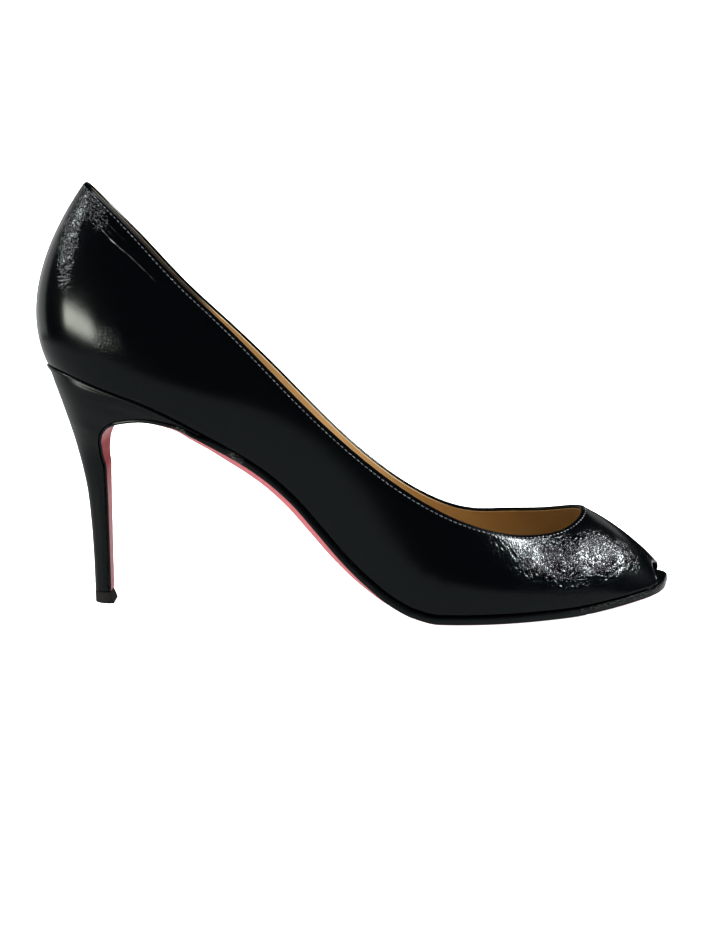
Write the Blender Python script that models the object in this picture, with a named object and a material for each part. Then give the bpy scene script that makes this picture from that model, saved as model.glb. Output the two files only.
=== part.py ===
"""A right-foot peep toe pump with a slim covered heel, in metres, standing on the floor z = 0.

+X runs from heel to toe, +Y is the inner (medial) side, -Y the outer (lateral) side, +Z is up.
The origin is on the floor, under the ball of the foot, on the middle line of the heel seat.

The last, the form that a shoe is made on, is given by four things, and every piece is worked out from them:
its bottom line seen from the side, its outline seen from above, the topline that the upper stops at,
and how the upper leaves the one and reaches the other.
"""

import math

import bpy
import numpy as np

# Driving dimensions.
SHOE_LENGTH = 0.2236  # feather outline, back of the seat to the tip of the toe
BALL_WIDTH = 0.0750  # feather outline, across the ball
HEEL_HEIGHT = 0.0857  # floor to the back edge of the seat
BACK_HEIGHT = 0.0613  # back edge of the seat to the top of the back
TOE_SPRING = 0.0034  # how far the tip of the sole lifts off the floor
WALL = 0.0016  # the upper, leather and lining together
INSOLE_THICKNESS = 0.0025  # insole board and its sock
INSOLE_CUP = 0.0012  # how much the sock stands up along its rim, at the back of the seat
SOLE_EDGE = 0.0026  # outsole, at its edge
SOLE_MARGIN = 0.0007  # how far the outsole stands out past the upper at the forepart
WAIST_DOME = 0.0032  # how much thicker the rounded waist is in its middle
FLAP_THICKNESS = 0.0008  # outsole, where it runs down the front of the heel
FLAP_INSET = 0.0006  # heel left showing on each side of the flap
HEEL_PITCH = 0.0189  # back of the seat to the front of the stem, level with the floor
STEM_WIDTH = 0.0112  # stem of the heel, side to side, at its middle
TIP_WIDTH = 0.0098  # stem of the heel, side to side, at the top lift
LIP_LENGTH = 0.0540  # back of the seat to the front end of the heel's lip
LIP_ROOT = 0.0290  # back of the seat to where the lip leaves the front of the heel
LIP_DEPTH = 0.0087  # the lip at its root
LIP_TIP = 0.0006  # the lip at its front end
LIFT_HEIGHT = 0.0042  # top lift
LIFT_FLARE = 0.0021  # how far the top lift's floor edge stands out at the front
PEEP_HEIGHT = 0.0048  # peep toe, from the feather line to the middle of its arch
PEEP_OUTER = 0.0173  # peep toe, from the tip across to its outer corner
PEEP_INNER = 0.0038  # peep toe, from the tip across to its inner corner
GAP = 0.0003  # clearance between pieces that meet

# How finely the curved pieces are cut.
RIBS_PER_SIDE = 46
ROWS_UP = 12
SOLE_STATIONS = 44
SOLE_COLUMNS = 8
SOLE_TOE_STATIONS = 9
INSOLE_STATIONS = 40
INSOLE_COLUMNS = 4
SEAT_POINTS = 13
STEM_SECTIONS = 5
CURVE_STEPS = 3000  # points on the outline and on the topline before anything is laid on them
BREAST_STEPS = 60
RIB_CROWDING = 0.55  # how much closer the upper's ribs stand at the back and at the toe
SEAT_CROWDING = 1.15  # how much closer the heel's points stand at its rounded back
BLUNT = 0.0005  # how far before their tips the insole and the outsole end, as a share of SHOE_LENGTH

BALL_AT = 0.6208  # where the origin is, as a share of SHOE_LENGTH

# Bottom line of the last, seen from the side.
# along: share of SHOE_LENGTH; rise: share of the heel's rise; spring: share of TOE_SPRING.
BOTTOM_LINE = (
    # along, rise, spring
    (-0.020, 1.018, 0.00),
    (0.000, 1.000, 0.00),
    (0.040, 0.965, 0.00),
    (0.084, 0.918, 0.00),
    (0.168, 0.832, 0.00),
    (0.250, 0.714, 0.00),
    (0.315, 0.607, 0.00),
    (0.352, 0.533, 0.00),
    (0.388, 0.443, 0.00),
    (0.424, 0.332, 0.00),
    (0.460, 0.222, 0.00),
    (0.496, 0.131, 0.00),
    (0.530, 0.062, 0.00),
    (0.562, 0.020, 0.00),
    (0.597, 0.000, 0.00),
    (0.800, 0.000, 0.00),
    (0.860, 0.000, 0.22),
    (0.930, 0.000, 0.62),
    (1.000, 0.000, 1.00),
    (1.020, 0.000, 1.12),
)

# Feather outline, seen from above. along: share of SHOE_LENGTH; outer, inner: shares of BALL_WIDTH.
TIP_SIDE = 0.111  # how far to the inner side the tip lies, as a share of BALL_WIDTH
OUTLINE = (
    # along, outer, inner
    (0.0180, 0.162, 0.164),
    (0.0600, 0.276, 0.278),
    (0.1200, 0.334, 0.330),
    (0.1750, 0.348, 0.334),
    (0.2450, 0.330, 0.304),
    (0.3300, 0.296, 0.262),
    (0.4200, 0.340, 0.298),
    (0.4950, 0.424, 0.366),
    (0.5650, 0.494, 0.426),
    (0.6200, 0.520, 0.458),
    (0.6850, 0.514, 0.480),
    (0.7500, 0.472, 0.474),
    (0.8150, 0.402, 0.442),
    (0.8750, 0.316, 0.396),
    (0.9300, 0.219, 0.336),
    (0.9600, 0.144, 0.283),
    (0.9800, 0.057, 0.231),
    (0.9920, -0.029, 0.185),
)

# Topline. along: share of SHOE_LENGTH; height: share of BACK_HEIGHT, straight up from the bottom line;
# side: share of BALL_WIDTH; lean: degrees that the upper's face is turned up there.
TOPLINE_BACK = (0.0680, 1.094, 38.0)  # along, height, lean
TOPLINE_THROAT = (0.8470, 0.486, 68.0)  # along, height, lean
OUTER_TOPLINE = (
    # along, height, side, lean
    (0.0745, 1.078, 0.105, 34.0),
    (0.0970, 1.026, 0.178, 27.0),
    (0.1400, 0.926, 0.246, 20.0),
    (0.2100, 0.768, 0.292, 15.0),
    (0.2740, 0.679, 0.318, 12.0),
    (0.3610, 0.576, 0.346, 9.0),
    (0.4500, 0.612, 0.386, 8.0),
    (0.5380, 0.632, 0.436, 11.0),
    (0.6270, 0.519, 0.452, 18.0),
    (0.6950, 0.436, 0.408, 28.0),
    (0.7500, 0.405, 0.324, 40.0),
    (0.7980, 0.412, 0.234, 52.0),
    (0.8300, 0.448, 0.140, 62.0),
)
INNER_TOPLINE = (
    # along, height, side, lean
    (0.0745, 1.078, 0.105, 34.0),
    (0.0970, 1.024, 0.178, 27.0),
    (0.1400, 0.918, 0.246, 20.0),
    (0.2100, 0.760, 0.290, 15.0),
    (0.2740, 0.672, 0.314, 12.0),
    (0.3610, 0.582, 0.340, 9.0),
    (0.4500, 0.600, 0.376, 8.0),
    (0.5380, 0.592, 0.420, 11.0),
    (0.6180, 0.478, 0.440, 18.0),
    (0.6850, 0.404, 0.418, 28.0),
    (0.7450, 0.416, 0.344, 40.0),
    (0.7960, 0.440, 0.240, 52.0),
    (0.8300, 0.468, 0.140, 62.0),
)

# How the upper leaves the feather line, going from the back to the tip of the toe along either side, and in
# the last row from the middle of the peep toe's arch. along: share of SHOE_LENGTH; flare: degrees outwards
# from square to the bottom; low, high: how far the wall keeps its direction at its foot and at the topline,
# as shares of the straight way between them.
WALL_FORM = (
    # along, flare, low, high
    (0.000, 41.0, 0.370, 0.310),
    (0.060, 30.0, 0.360, 0.300),
    (0.140, 22.0, 0.360, 0.320),
    (0.250, 24.0, 0.380, 0.340),
    (0.360, 27.0, 0.380, 0.340),
    (0.470, 22.0, 0.380, 0.340),
    (0.600, 14.0, 0.380, 0.340),
    (0.750, 9.0, 0.420, 0.360),
    (0.850, 3.0, 0.350, 0.380),
    (0.920, -8.0, 0.200, 0.360),
    (0.960, -17.0, 0.140, 0.340),
    (1.000, -28.0, 0.120, 0.320),
    (1.050, -36.0, 0.220, 0.430),
)
PEEP_SETBACK = 0.0046  # how far the middle of its arch lies behind the feather outline
PEEP_FULLNESS = 0.9  # how full its arch is; 1 is a sine
PEEP_CLIMB = 2.0  # how late in the arch the setback comes in
INSOLE_TOE = 0.850  # where the insole's rim has come down flat, as a share of SHOE_LENGTH
INSOLE_CLEAR = 2.0  # how far the insole draws in where the wall leans over it, as a share of that lean
EVEN_REACH = 0.0060  # how far round the toe each point of the upper is evened out with those beside it
EVEN_FROM = (0.800, 0.880)  # where that begins and where it is complete, as shares of SHOE_LENGTH
EVEN_FOOT = 0.0015  # distance from the foot at which it is complete
EVEN_TOP = 0.0050  # distance from the topline at which it is complete

# Which point of the topline each rib of the upper runs to. Both columns are shares of SHOE_LENGTH.
RIBS = (
    # foot on the feather line, head on the topline
    (0.168, 0.238),
    (0.352, 0.428),
    (0.497, 0.566),
    (0.621, 0.652),
    (0.755, 0.738),
    (0.870, 0.806),
    (0.968, 0.8415),
)

# Outsole. along: share of SHOE_LENGTH; edge: share of SOLE_EDGE; dome: share of WAIST_DOME;
# margin: share of SOLE_MARGIN.
SOLE_FORM = (
    # along, edge, dome, margin
    (0.240, 0.90, 0.70, 0.00),
    (0.300, 0.88, 1.00, 0.00),
    (0.400, 0.88, 1.00, 0.10),
    (0.480, 0.92, 0.92, 0.30),
    (0.540, 1.00, 0.45, 0.60),
    (0.590, 1.00, 0.00, 0.90),
    (0.700, 1.00, 0.00, 1.00),
    (1.020, 1.00, 0.00, 1.00),
)

# Heel, from the seat down to where its stem begins. rear: share of HEEL_HEIGHT, on the back line;
# front: share of the way along the lip and round into the stem; width: share of the seat's width;
# seat: how much of the seat's own outline is left.
HEEL_FLARE = (
    # rear, front, width, seat
    (0.965, 0.20, 0.970, 0.85),
    (0.925, 0.40, 0.900, 0.65),
    (0.880, 0.57, 0.790, 0.45),
    (0.835, 0.67, 0.680, 0.28),
    (0.790, 0.76, 0.560, 0.15),
    (0.745, 0.83, 0.455, 0.07),
    (0.695, 0.89, 0.375, 0.03),
    (0.635, 0.95, 0.312, 0.01),
)
# Back line of the heel. up: share of HEEL_HEIGHT; forward: share of HEEL_PITCH.
HEEL_BACK = (
    # up, forward
    (0.000, 0.735),
    (0.175, 0.725),
    (0.344, 0.695),
    (0.512, 0.625),
    (0.596, 0.545),
    (0.679, 0.460),
    (0.762, 0.360),
    (0.824, 0.280),
    (0.886, 0.190),
    (0.946, 0.095),
    (1.000, 0.015),
)
DOME_SQUARE = 3.4  # how square the rounded waist is
SOLE_TOE = 0.090  # how much of the toe the outsole's closer sections take up, as a share of SHOE_LENGTH
LIP_STEP = 0.0045  # length over which the outsole drops below the end of the heel's lip
STEM_TOP = 0.575  # height at which the stem begins, as a share of HEEL_HEIGHT
STEM_ROOT = 0.275  # half the stem's width up there, as a share of half the seat's
STEM_THINNING = 5.0  # how soon below its top the stem is down to its own width
BREAST_PULL = (0.120, 0.134)  # how the stem runs on above its top: share of HEEL_PITCH, of HEEL_HEIGHT
LIP_PULL = 0.0068  # how far the lip keeps its direction, back from its root
LIP_TAPER = 2.0  # how late the lip deepens on its way to its root
LIP_DOME = 1.5  # how soon the outsole's roundness goes along the lip
STEM_ROUND = 0.86  # how far forward from its back the stem has its full width, as a share of its depth
SEAT_ROUND = 0.50  # the same, up at the seat
# Top lift. up: share of LIFT_HEIGHT; flare: share of LIFT_FLARE.
LIFT_FORM = (
    # up, flare
    (1.00, 0.25),
    (0.45, 0.70),
    (0.00, 1.00),
)

COLOURS = {
    # name: red, green, blue, roughness
    "black leather": (0.012, 0.013, 0.014, 0.28),
    "tan lining": (0.420, 0.235, 0.085, 0.60),
    "red sole": (0.230, 0.030, 0.040, 0.45),
    "black rubber": (0.010, 0.010, 0.010, 0.70),
}


def clear_scene():
    for old in list(bpy.data.objects):
        bpy.data.objects.remove(old, do_unlink=True)


def unit(vectors):
    """The vectors with length 1."""
    return vectors / np.linalg.norm(vectors, axis=-1, keepdims=True)


def monotone(knots, values, at):
    """A smooth curve through the values that never overshoots them, read at the places asked for."""
    knots, values, at = (np.asarray(part, float) for part in (knots, values, at))
    step = np.diff(knots)
    slope = np.diff(values) / step
    tangent = np.zeros(len(knots))
    tangent[0], tangent[-1] = slope[0], slope[-1]
    same_way = slope[:-1] * slope[1:] > 0
    first, second = 2 * step[1:] + step[:-1], step[1:] + 2 * step[:-1]
    below = np.where(same_way, slope[:-1], 1.0)
    above = np.where(same_way, slope[1:], 1.0)
    tangent[1:-1] = np.where(same_way, (first + second) / (first / below + second / above), 0.0)
    k = np.clip(np.searchsorted(knots, at) - 1, 0, len(step) - 1)
    h = step[k]
    t = np.clip((at - knots[k]) / h, 0.0, 1.0)
    return (
        (1 + 2 * t) * (1 - t) ** 2 * values[k]
        + t * (1 - t) ** 2 * h * tangent[k]
        + t * t * (3 - 2 * t) * values[k + 1]
        + t * t * (t - 1) * h * tangent[k + 1]
    )


def column(table, number):
    return np.array([row[number] for row in table], float)


def closed_curve(points, samples):
    """A smooth closed curve through the points: the points along it, and where on it each given one is."""
    points = np.asarray(points, float)
    count = len(points)
    chord = np.linalg.norm(np.roll(points, -1, axis=0) - points, axis=1)
    before = np.roll(chord, 1)
    system = np.zeros((count, count))
    right = np.zeros_like(points)
    for i in range(count):
        system[i, i - 1] = chord[i]
        system[i, i] = 2 * (chord[i] + before[i])
        system[i, (i + 1) % count] = before[i]
        back = (points[i] - points[i - 1]) / before[i]
        ahead = (points[(i + 1) % count] - points[i]) / chord[i]
        right[i] = 3 * (chord[i] * back + before[i] * ahead)
    tangent = np.linalg.solve(system, right)
    knots = np.concatenate([[0.0], np.cumsum(chord)])
    at = np.linspace(0.0, knots[-1], samples, endpoint=False)
    k = np.clip(np.searchsorted(knots, at, side="right") - 1, 0, count - 1)
    h = chord[k][:, None]
    t = ((at - knots[k]) / chord[k])[:, None]
    after = (k + 1) % count
    curve = (
        (1 + 2 * t) * (1 - t) ** 2 * points[k]
        + t * (1 - t) ** 2 * h * tangent[k]
        + t * t * (3 - 2 * t) * points[after]
        + t * t * (t - 1) * h * tangent[after]
    )
    return curve, knots[:-1] / knots[-1] * samples


def along_to_x(share):
    return (np.asarray(share, float) - BALL_AT) * SHOE_LENGTH


def bottom_height(x):
    """Height of the feather line over the floor."""
    share = np.asarray(x, float) / SHOE_LENGTH + BALL_AT
    knots = column(BOTTOM_LINE, 0)
    lowest = SOLE_EDGE + GAP
    rise = monotone(knots, column(BOTTOM_LINE, 1), share) * (HEEL_HEIGHT - lowest)
    spring = monotone(knots, column(BOTTOM_LINE, 2), share) * TOE_SPRING
    return lowest + rise + spring


def bottom_square(x):
    """The direction square to the bottom of the last, upwards, as X and Z."""
    step = SHOE_LENGTH * 1e-3
    slope = (bottom_height(x + step) - bottom_height(x - step)) / (2 * step)
    return unit(np.stack([-slope, np.ones_like(slope)], axis=-1))


def outline_loop():
    """The feather outline as X and Y, from the back round the outer side to the tip and home."""
    points = [(0.0, 0.0)]
    points += [(along, -outer) for along, outer, _ in OUTLINE]
    points += [(1.0, TIP_SIDE)]
    points += [(along, inner) for along, _, inner in reversed(OUTLINE)]
    shares = np.array(points)
    plan = np.stack([along_to_x(shares[:, 0]), shares[:, 1] * BALL_WIDTH], axis=-1)
    loop, _ = closed_curve(plan, CURVE_STEPS)
    return loop


def grown(loop, margin):
    """The outline moved outwards by a margin, which may differ from point to point."""
    along = unit(np.roll(loop, -1, axis=0) - np.roll(loop, 1, axis=0))
    outwards = np.stack([along[:, 1], -along[:, 0]], axis=-1)
    if np.sum(outwards * (loop - loop.mean(axis=0))) < 0:
        outwards = -outwards
    return loop + outwards * np.broadcast_to(margin, len(loop))[:, None]


def sides(loop):
    """The outer and the inner side of an outline, each from its back to its tip."""
    back, tip = int(np.argmin(loop[:, 0])), int(np.argmax(loop[:, 0]))
    turned = np.roll(loop, -back, axis=0)
    tip = (tip - back) % len(loop)
    first, second = turned[: tip + 1], np.vstack([turned[tip:], turned[:1]])[::-1]
    return (first, second) if first[:, 1].mean() < second[:, 1].mean() else (second, first)


def side_at(side, x):
    """Y of one side of an outline at each x."""
    rising = np.maximum.accumulate(side[:, 0])
    return np.interp(x, rising, side[:, 1])


def length_to(path):
    """How far along the path each of its points is."""
    return np.concatenate([[0.0], np.cumsum(np.linalg.norm(np.diff(path, axis=0), axis=1))])


def resampled(path, places):
    """Points of a path at given distances from its start."""
    distance = length_to(path)
    return np.stack([np.interp(places, distance, path[:, axis]) for axis in range(path.shape[1])], axis=-1)


def topline_sides():
    """The topline's outer and inner half, from the back to the throat: X, Y, Z and lean."""
    back, throat = TOPLINE_BACK, TOPLINE_THROAT
    points = [(back[0], back[1], 0.0, back[2])]
    points += [(along, height, -side, lean) for along, height, side, lean in OUTER_TOPLINE]
    points += [(throat[0], throat[1], 0.0, throat[2])]
    points += [(along, height, side, lean) for along, height, side, lean in reversed(INNER_TOPLINE)]
    shares = np.array(points)
    x = along_to_x(shares[:, 0])
    place = np.stack([x, shares[:, 2] * BALL_WIDTH, bottom_height(x) + shares[:, 1] * BACK_HEIGHT], axis=-1)
    loop, places = closed_curve(place, CURVE_STEPS)
    half = int(round(places[len(OUTER_TOPLINE) + 1]))
    leans = np.append(shares[:, 3], back[2])
    lean = np.interp(np.arange(CURVE_STEPS), np.append(places, CURVE_STEPS), leans)
    whole = np.column_stack([loop, lean])
    outer = whole[: half + 1]
    inner = np.vstack([whole[half:], whole[:1]])[::-1]
    return outer, inner


def peep_arch(outer_side, inner_side):
    """The peep toe's edge from its outer to its inner corner, the way out of it, how far up its arch each
    point is, and where the corners are on the two sides."""
    tip = outer_side[-1]
    outer_at = np.argmin(np.abs(outer_side[:, 1] - (tip[1] - PEEP_OUTER)) + (outer_side[:, 0] < 0))
    inner_at = np.argmin(np.abs(inner_side[:, 1] - (tip[1] + PEEP_INNER)) + (inner_side[:, 0] < 0))
    facing = []
    for side, at, sign in ((outer_side, outer_at, 1), (inner_side, inner_at, -1)):
        along = unit(side[at + 1] - side[at - 1])
        facing.append(np.array([along[1], -along[0]]) * sign)
    front = np.vstack([outer_side[outer_at:], inner_side[inner_at:-1][::-1]])
    front_length = length_to(front)
    turn = np.linspace(0.0, math.pi, 401)
    across = (1 - np.cos(turn)) / 2
    rise = np.sin(turn)
    plan = resampled(front, across * front_length[-1])
    edge = np.column_stack([plan, bottom_height(plan[:, 0]) + rise**PEEP_FULLNESS * PEEP_HEIGHT])
    edge[:, 0] -= rise**PEEP_CLIMB * PEEP_SETBACK
    along = unit(np.gradient(plan, axis=0))
    flat = np.column_stack([along[:, 1], -along[:, 0]])
    flat[0], flat[-1] = facing
    out = np.column_stack([flat, np.zeros(len(flat))])
    return edge, out, rise, outer_at, inner_at


def wall_foot(side, corner, arch, arch_out, rise, outwards):
    """One side of the upper's lower edge, from the back along the feather line and up to the middle of the
    peep toe, with the upper's facing, the way its thickness goes, and its place in WALL_FORM."""
    plan = side[: corner + 1]
    feather = np.column_stack([plan, bottom_height(plan[:, 0])])
    square = bottom_square(plan[:, 0])
    up = np.column_stack([square[:, 0], np.zeros(len(plan)), square[:, 1]])
    along = unit(np.gradient(feather, axis=0))
    along[0] = (0.0, outwards, 0.0)
    out = np.vstack([unit(np.cross(along, up)) * -outwards, arch_out[1:]])
    up = np.vstack([up, np.tile(up[-1], (len(arch) - 1, 1))])
    share = plan[:, 0] / SHOE_LENGTH + BALL_AT
    share = np.append(share, share[-1] + (WALL_FORM[-1][0] - share[-1]) * rise[1:] ** 2)
    flare = np.radians(monotone(column(WALL_FORM, 0), column(WALL_FORM, 1), share))[:, None]
    facing = np.cos(flare) * out - np.sin(flare) * up
    turned = np.append(np.zeros(len(plan)), rise[1:])[:, None]
    return np.vstack([feather, arch[1:]]), facing, unit(out * (1 - turned) + facing * turned), share


def spread(count, crowd):
    """Steps from 0 to 1, closer together at both ends."""
    t = np.linspace(0.0, 1.0, count + 1)
    return t - crowd * np.sin(2 * math.pi * t) / (2 * math.pi)


def half_upper(side, corner, arch, arch_out, rise, topline, outwards):
    """The outer face of one half of the upper, rib by rib from the back to the middle of the toe."""
    foot, facing, inwards, share = wall_foot(side, corner, arch, arch_out, rise, outwards)
    foot_length = length_to(foot)
    head_length = length_to(topline[:, :3])
    feather_x = foot[: corner + 1, 0]
    pairs_foot = [0.0]
    pairs_head = [0.0]
    for foot_share, head_share in RIBS:
        pairs_foot.append(np.interp(along_to_x(foot_share), feather_x, foot_length[: corner + 1]))
        head_x = np.maximum.accumulate(topline[:, 0])
        pairs_head.append(np.interp(along_to_x(head_share), head_x, head_length))
    pairs_foot.append(foot_length[-1])
    pairs_head.append(head_length[-1])
    places = spread(RIBS_PER_SIDE, RIB_CROWDING) * foot_length[-1]
    heads = monotone(pairs_foot, pairs_head, places)
    start = resampled(foot, places)
    start_face = unit(np.stack([np.interp(places, foot_length, facing[:, a]) for a in range(3)], axis=-1))
    start_in = unit(np.stack([np.interp(places, foot_length, inwards[:, a]) for a in range(3)], axis=-1))
    reach = np.interp(places, foot_length, share)
    end = resampled(topline[:, :3], heads)
    lean = np.radians(np.interp(heads, head_length, topline[:, 3]))[:, None]
    step = 1e-3 * head_length[-1]
    along = unit(resampled(topline[:, :3], heads + step) - resampled(topline[:, :3], heads - step))
    along[0] = (0.0, outwards, 0.0)
    along[-1] = (0.0, -outwards, 0.0)
    flat = unit(np.column_stack([along[:, 1], -along[:, 0], np.zeros(len(along))])) * -outwards
    raised = np.cross(along, flat)
    raised = unit(raised * np.sign(raised[:, 2:3]))
    end_face = unit(np.cos(lean) * flat + np.sin(lean) * raised)
    chord = end - start
    size = np.linalg.norm(chord, axis=1, keepdims=True)
    leaving = unit(chord - np.sum(chord * start_face, axis=1, keepdims=True) * start_face)
    arriving = unit(chord - np.sum(chord * end_face, axis=1, keepdims=True) * end_face)
    low = monotone(column(WALL_FORM, 0), column(WALL_FORM, 2), reach)[:, None]
    high = monotone(column(WALL_FORM, 0), column(WALL_FORM, 3), reach)[:, None]
    second = start + leaving * size * low
    third = end - arriving * size * high
    t = np.linspace(0.0, 1.0, ROWS_UP + 1)[None, :, None]
    ribs = (
        (1 - t) ** 3 * start[:, None]
        + 3 * t * (1 - t) ** 2 * second[:, None]
        + 3 * t * t * (1 - t) * third[:, None]
        + t**3 * end[:, None]
    )
    return ribs, start_in


def add_object(name, points, faces, material):
    """One named object from points and faces, with its faces turned outwards."""
    mesh = bpy.data.meshes.new(name)
    mesh.from_pydata([tuple(point) for point in np.asarray(points, float)], [], faces)
    mesh.validate()
    mesh.calc_loop_triangles()
    corners = np.array([[mesh.vertices[v].co[:] for v in tri.vertices] for tri in mesh.loop_triangles])
    if np.linalg.det(corners).sum() < 0:
        mesh.flip_normals()
    mesh.shade_smooth()
    mesh.set_sharp_from_angle(angle=math.radians(35))
    mesh.materials.append(material)
    piece = bpy.data.objects.new(name, mesh)
    bpy.context.scene.collection.objects.link(piece)
    return piece


def add_material(name):
    red, green, blue, roughness = COLOURS[name]
    material = bpy.data.materials.new(name)
    material.use_nodes = True
    shader = material.node_tree.nodes["Principled BSDF"]
    shader.inputs["Base Color"].default_value = (red, green, blue, 1.0)
    shader.inputs["Roughness"].default_value = roughness
    shader.inputs["Metallic"].default_value = 0.0
    return material


def fade(value, start, end):
    """0 up to start, 1 from end on, and smooth between them."""
    t = np.clip((value - start) / (end - start), 0.0, 1.0)
    return t * t * (3 - 2 * t)


def evened(ring):
    """The toe of the upper as one smooth dome: there each row is evened out along itself, twice over so that
    it keeps its size. The foot and the topline stay as they are."""
    even = np.empty_like(ring)
    for row in range(ring.shape[1]):
        line = ring[:, row]
        step = np.linalg.norm(np.roll(line, -1, axis=0) - line, axis=1)
        place = np.concatenate([[0.0], np.cumsum(step)[:-1]])
        apart = np.abs(place[:, None] - place[None, :])
        apart = np.minimum(apart, step.sum() - apart)
        weight = np.exp(-0.5 * (apart / EVEN_REACH) ** 2) * (step + np.roll(step, 1))
        weight /= weight.sum(axis=1, keepdims=True)
        once = weight @ line
        even[:, row] = once + weight @ (line - once)
    foot = np.linalg.norm(ring - ring[:, :1], axis=-1)
    top = np.linalg.norm(ring - ring[:, -1:], axis=-1)
    start, end = along_to_x(EVEN_FROM)
    share = fade(ring[..., 0], start, end) * fade(foot, 0.0, EVEN_FOOT) * fade(top, 0.0, EVEN_TOP)
    return ring + (even - ring) * share[..., None]


def make_upper(outline, material):
    """One hollow shell: two halves of ribs make a ring, and the lining is the same ring a wall further in."""
    outer_side, inner_side = sides(outline)
    arch, out, rise, outer_corner, inner_corner = peep_arch(outer_side, inner_side)
    outer_top, inner_top = topline_sides()
    first, second = slice(0, len(arch) // 2 + 1), slice(None, len(arch) // 2 - 1, -1)
    outer, outer_in = half_upper(
        outer_side, outer_corner, arch[first], out[first], rise[first], outer_top, -1
    )
    inner, inner_in = half_upper(
        inner_side, inner_corner, arch[second], out[second], rise[second], inner_top, 1
    )
    ring = evened(np.concatenate([outer, inner[-2:0:-1]]))
    inwards = np.concatenate([outer_in, inner_in[-2:0:-1]])
    around = np.roll(ring, -1, axis=0) - np.roll(ring, 1, axis=0)
    upwards = np.gradient(ring, axis=1)
    square = unit(np.cross(around, upwards))
    centre = ring.reshape(-1, 3).mean(axis=0)
    if np.sum(square * (ring - centre)) < 0:
        square = -square
    square[:, 0] = inwards
    lining = ring - square * WALL
    count, rows = ring.shape[:2]
    points = np.concatenate([ring.reshape(-1, 3), lining.reshape(-1, 3)])

    def at(shell, rib, row):
        return shell * count * rows + (rib % count) * rows + row

    faces = []
    top = rows - 1
    for rib in range(count):
        new = rib + 1
        for row in range(top):
            faces.append((at(0, rib, row), at(0, new, row), at(0, new, row + 1), at(0, rib, row + 1)))
            faces.append((at(1, rib, row), at(1, rib, row + 1), at(1, new, row + 1), at(1, new, row)))
        faces.append((at(0, rib, top), at(0, new, top), at(1, new, top), at(1, rib, top)))
        faces.append((at(0, rib, 0), at(1, rib, 0), at(1, new, 0), at(0, new, 0)))
    return add_object("upper", points, faces, material)


def tube_of_sections(sections):
    """Closed sections of equal count, one after the other, with flat ends: points and faces."""
    sections = np.asarray(sections)
    many, size = sections.shape[:2]
    faces = []
    for start in range(0, (many - 1) * size, size):
        for i in range(size):
            after = (i + 1) % size
            faces.append((start + i, start + after, start + size + after, start + size + i))
    last = (many - 1) * size
    for i in range(size // 2 - 1):
        faces.append((i, size - 1 - i, size - 2 - i, i + 1))
        faces.append((last + i, last + i + 1, last + size - 2 - i, last + size - 1 - i))
    return sections.reshape(-1, 3), faces


def lengthwise(first, last, count):
    """Places from first to last, crowded at both ends, where an outline turns round."""
    return first + (last - first) * (1 - np.cos(np.linspace(0.0, math.pi, count + 1))) / 2


def make_insole(outline, material):
    """The insole lies inside the upper's lower edge, a clearance away from it, with a rim that stands up.
    At the toe, where the wall leans inwards, it stops further in."""
    share = outline[:, 0] / SHOE_LENGTH + BALL_AT
    over = np.radians(np.maximum(-monotone(column(WALL_FORM, 0), column(WALL_FORM, 1), share), 0.0))
    inset = (WALL + GAP) / np.cos(over) + INSOLE_CLEAR * INSOLE_THICKNESS * np.tan(over)
    rim = grown(outline, -inset)
    outer_side, inner_side = sides(rim)
    blunt = SHOE_LENGTH * BLUNT
    x = lengthwise(rim[:, 0].min() + blunt, rim[:, 0].max() - blunt, INSOLE_STATIONS)
    square = bottom_square(x)
    low = side_at(outer_side, x)
    high = side_at(inner_side, x)
    cup = INSOLE_CUP * np.clip(1 - (x - x[0]) / (along_to_x(INSOLE_TOE) - x[0]), 0.0, 1.0)
    sections = []
    for place, up, left, right, stand in zip(x, square, low, high, cup):
        across = np.linspace(0.0, 1.0, INSOLE_COLUMNS + 1)
        y = left + (right - left) * across
        thick = INSOLE_THICKNESS + stand * (2 * across - 1) ** 2
        base = bottom_height(place)
        under = [(place, side, base) for side in y]
        over = [(place + up[0] * t, side, base + up[1] * t) for side, t in zip(y, thick)]
        sections.append(under + over[::-1])
    points, faces = tube_of_sections(sections)
    return add_object("insole", points, faces, material)


def breast_path():
    """The heel's front, from under the end of its lip round to the top of its stem, as X and Z."""
    back = along_to_x(0.0)
    x = back + np.linspace(LIP_LENGTH, LIP_ROOT, BREAST_STEPS)
    way = (back + LIP_LENGTH - x) / (LIP_LENGTH - LIP_ROOT)
    depth = GAP + LIP_TIP + (LIP_DEPTH - LIP_TIP) * way**LIP_TAPER
    square = bottom_square(x)
    lip = np.column_stack([x - square[:, 0] * depth, bottom_height(x) - square[:, 1] * depth])
    stem = np.array([back + HEEL_PITCH, HEEL_HEIGHT * STEM_TOP])
    pull = stem + np.array([-BREAST_PULL[0] * HEEL_PITCH, BREAST_PULL[1] * HEEL_HEIGHT])
    hold = lip[-1] + unit(lip[-1] - lip[-2]) * LIP_PULL
    t = np.linspace(0.0, 1.0, BREAST_STEPS + 1)[1:, None]
    bend = (1 - t) ** 3 * lip[-1] + 3 * t * (1 - t) ** 2 * hold + 3 * t * t * (1 - t) * pull + t**3 * stem
    return np.vstack([lip, bend])


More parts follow.
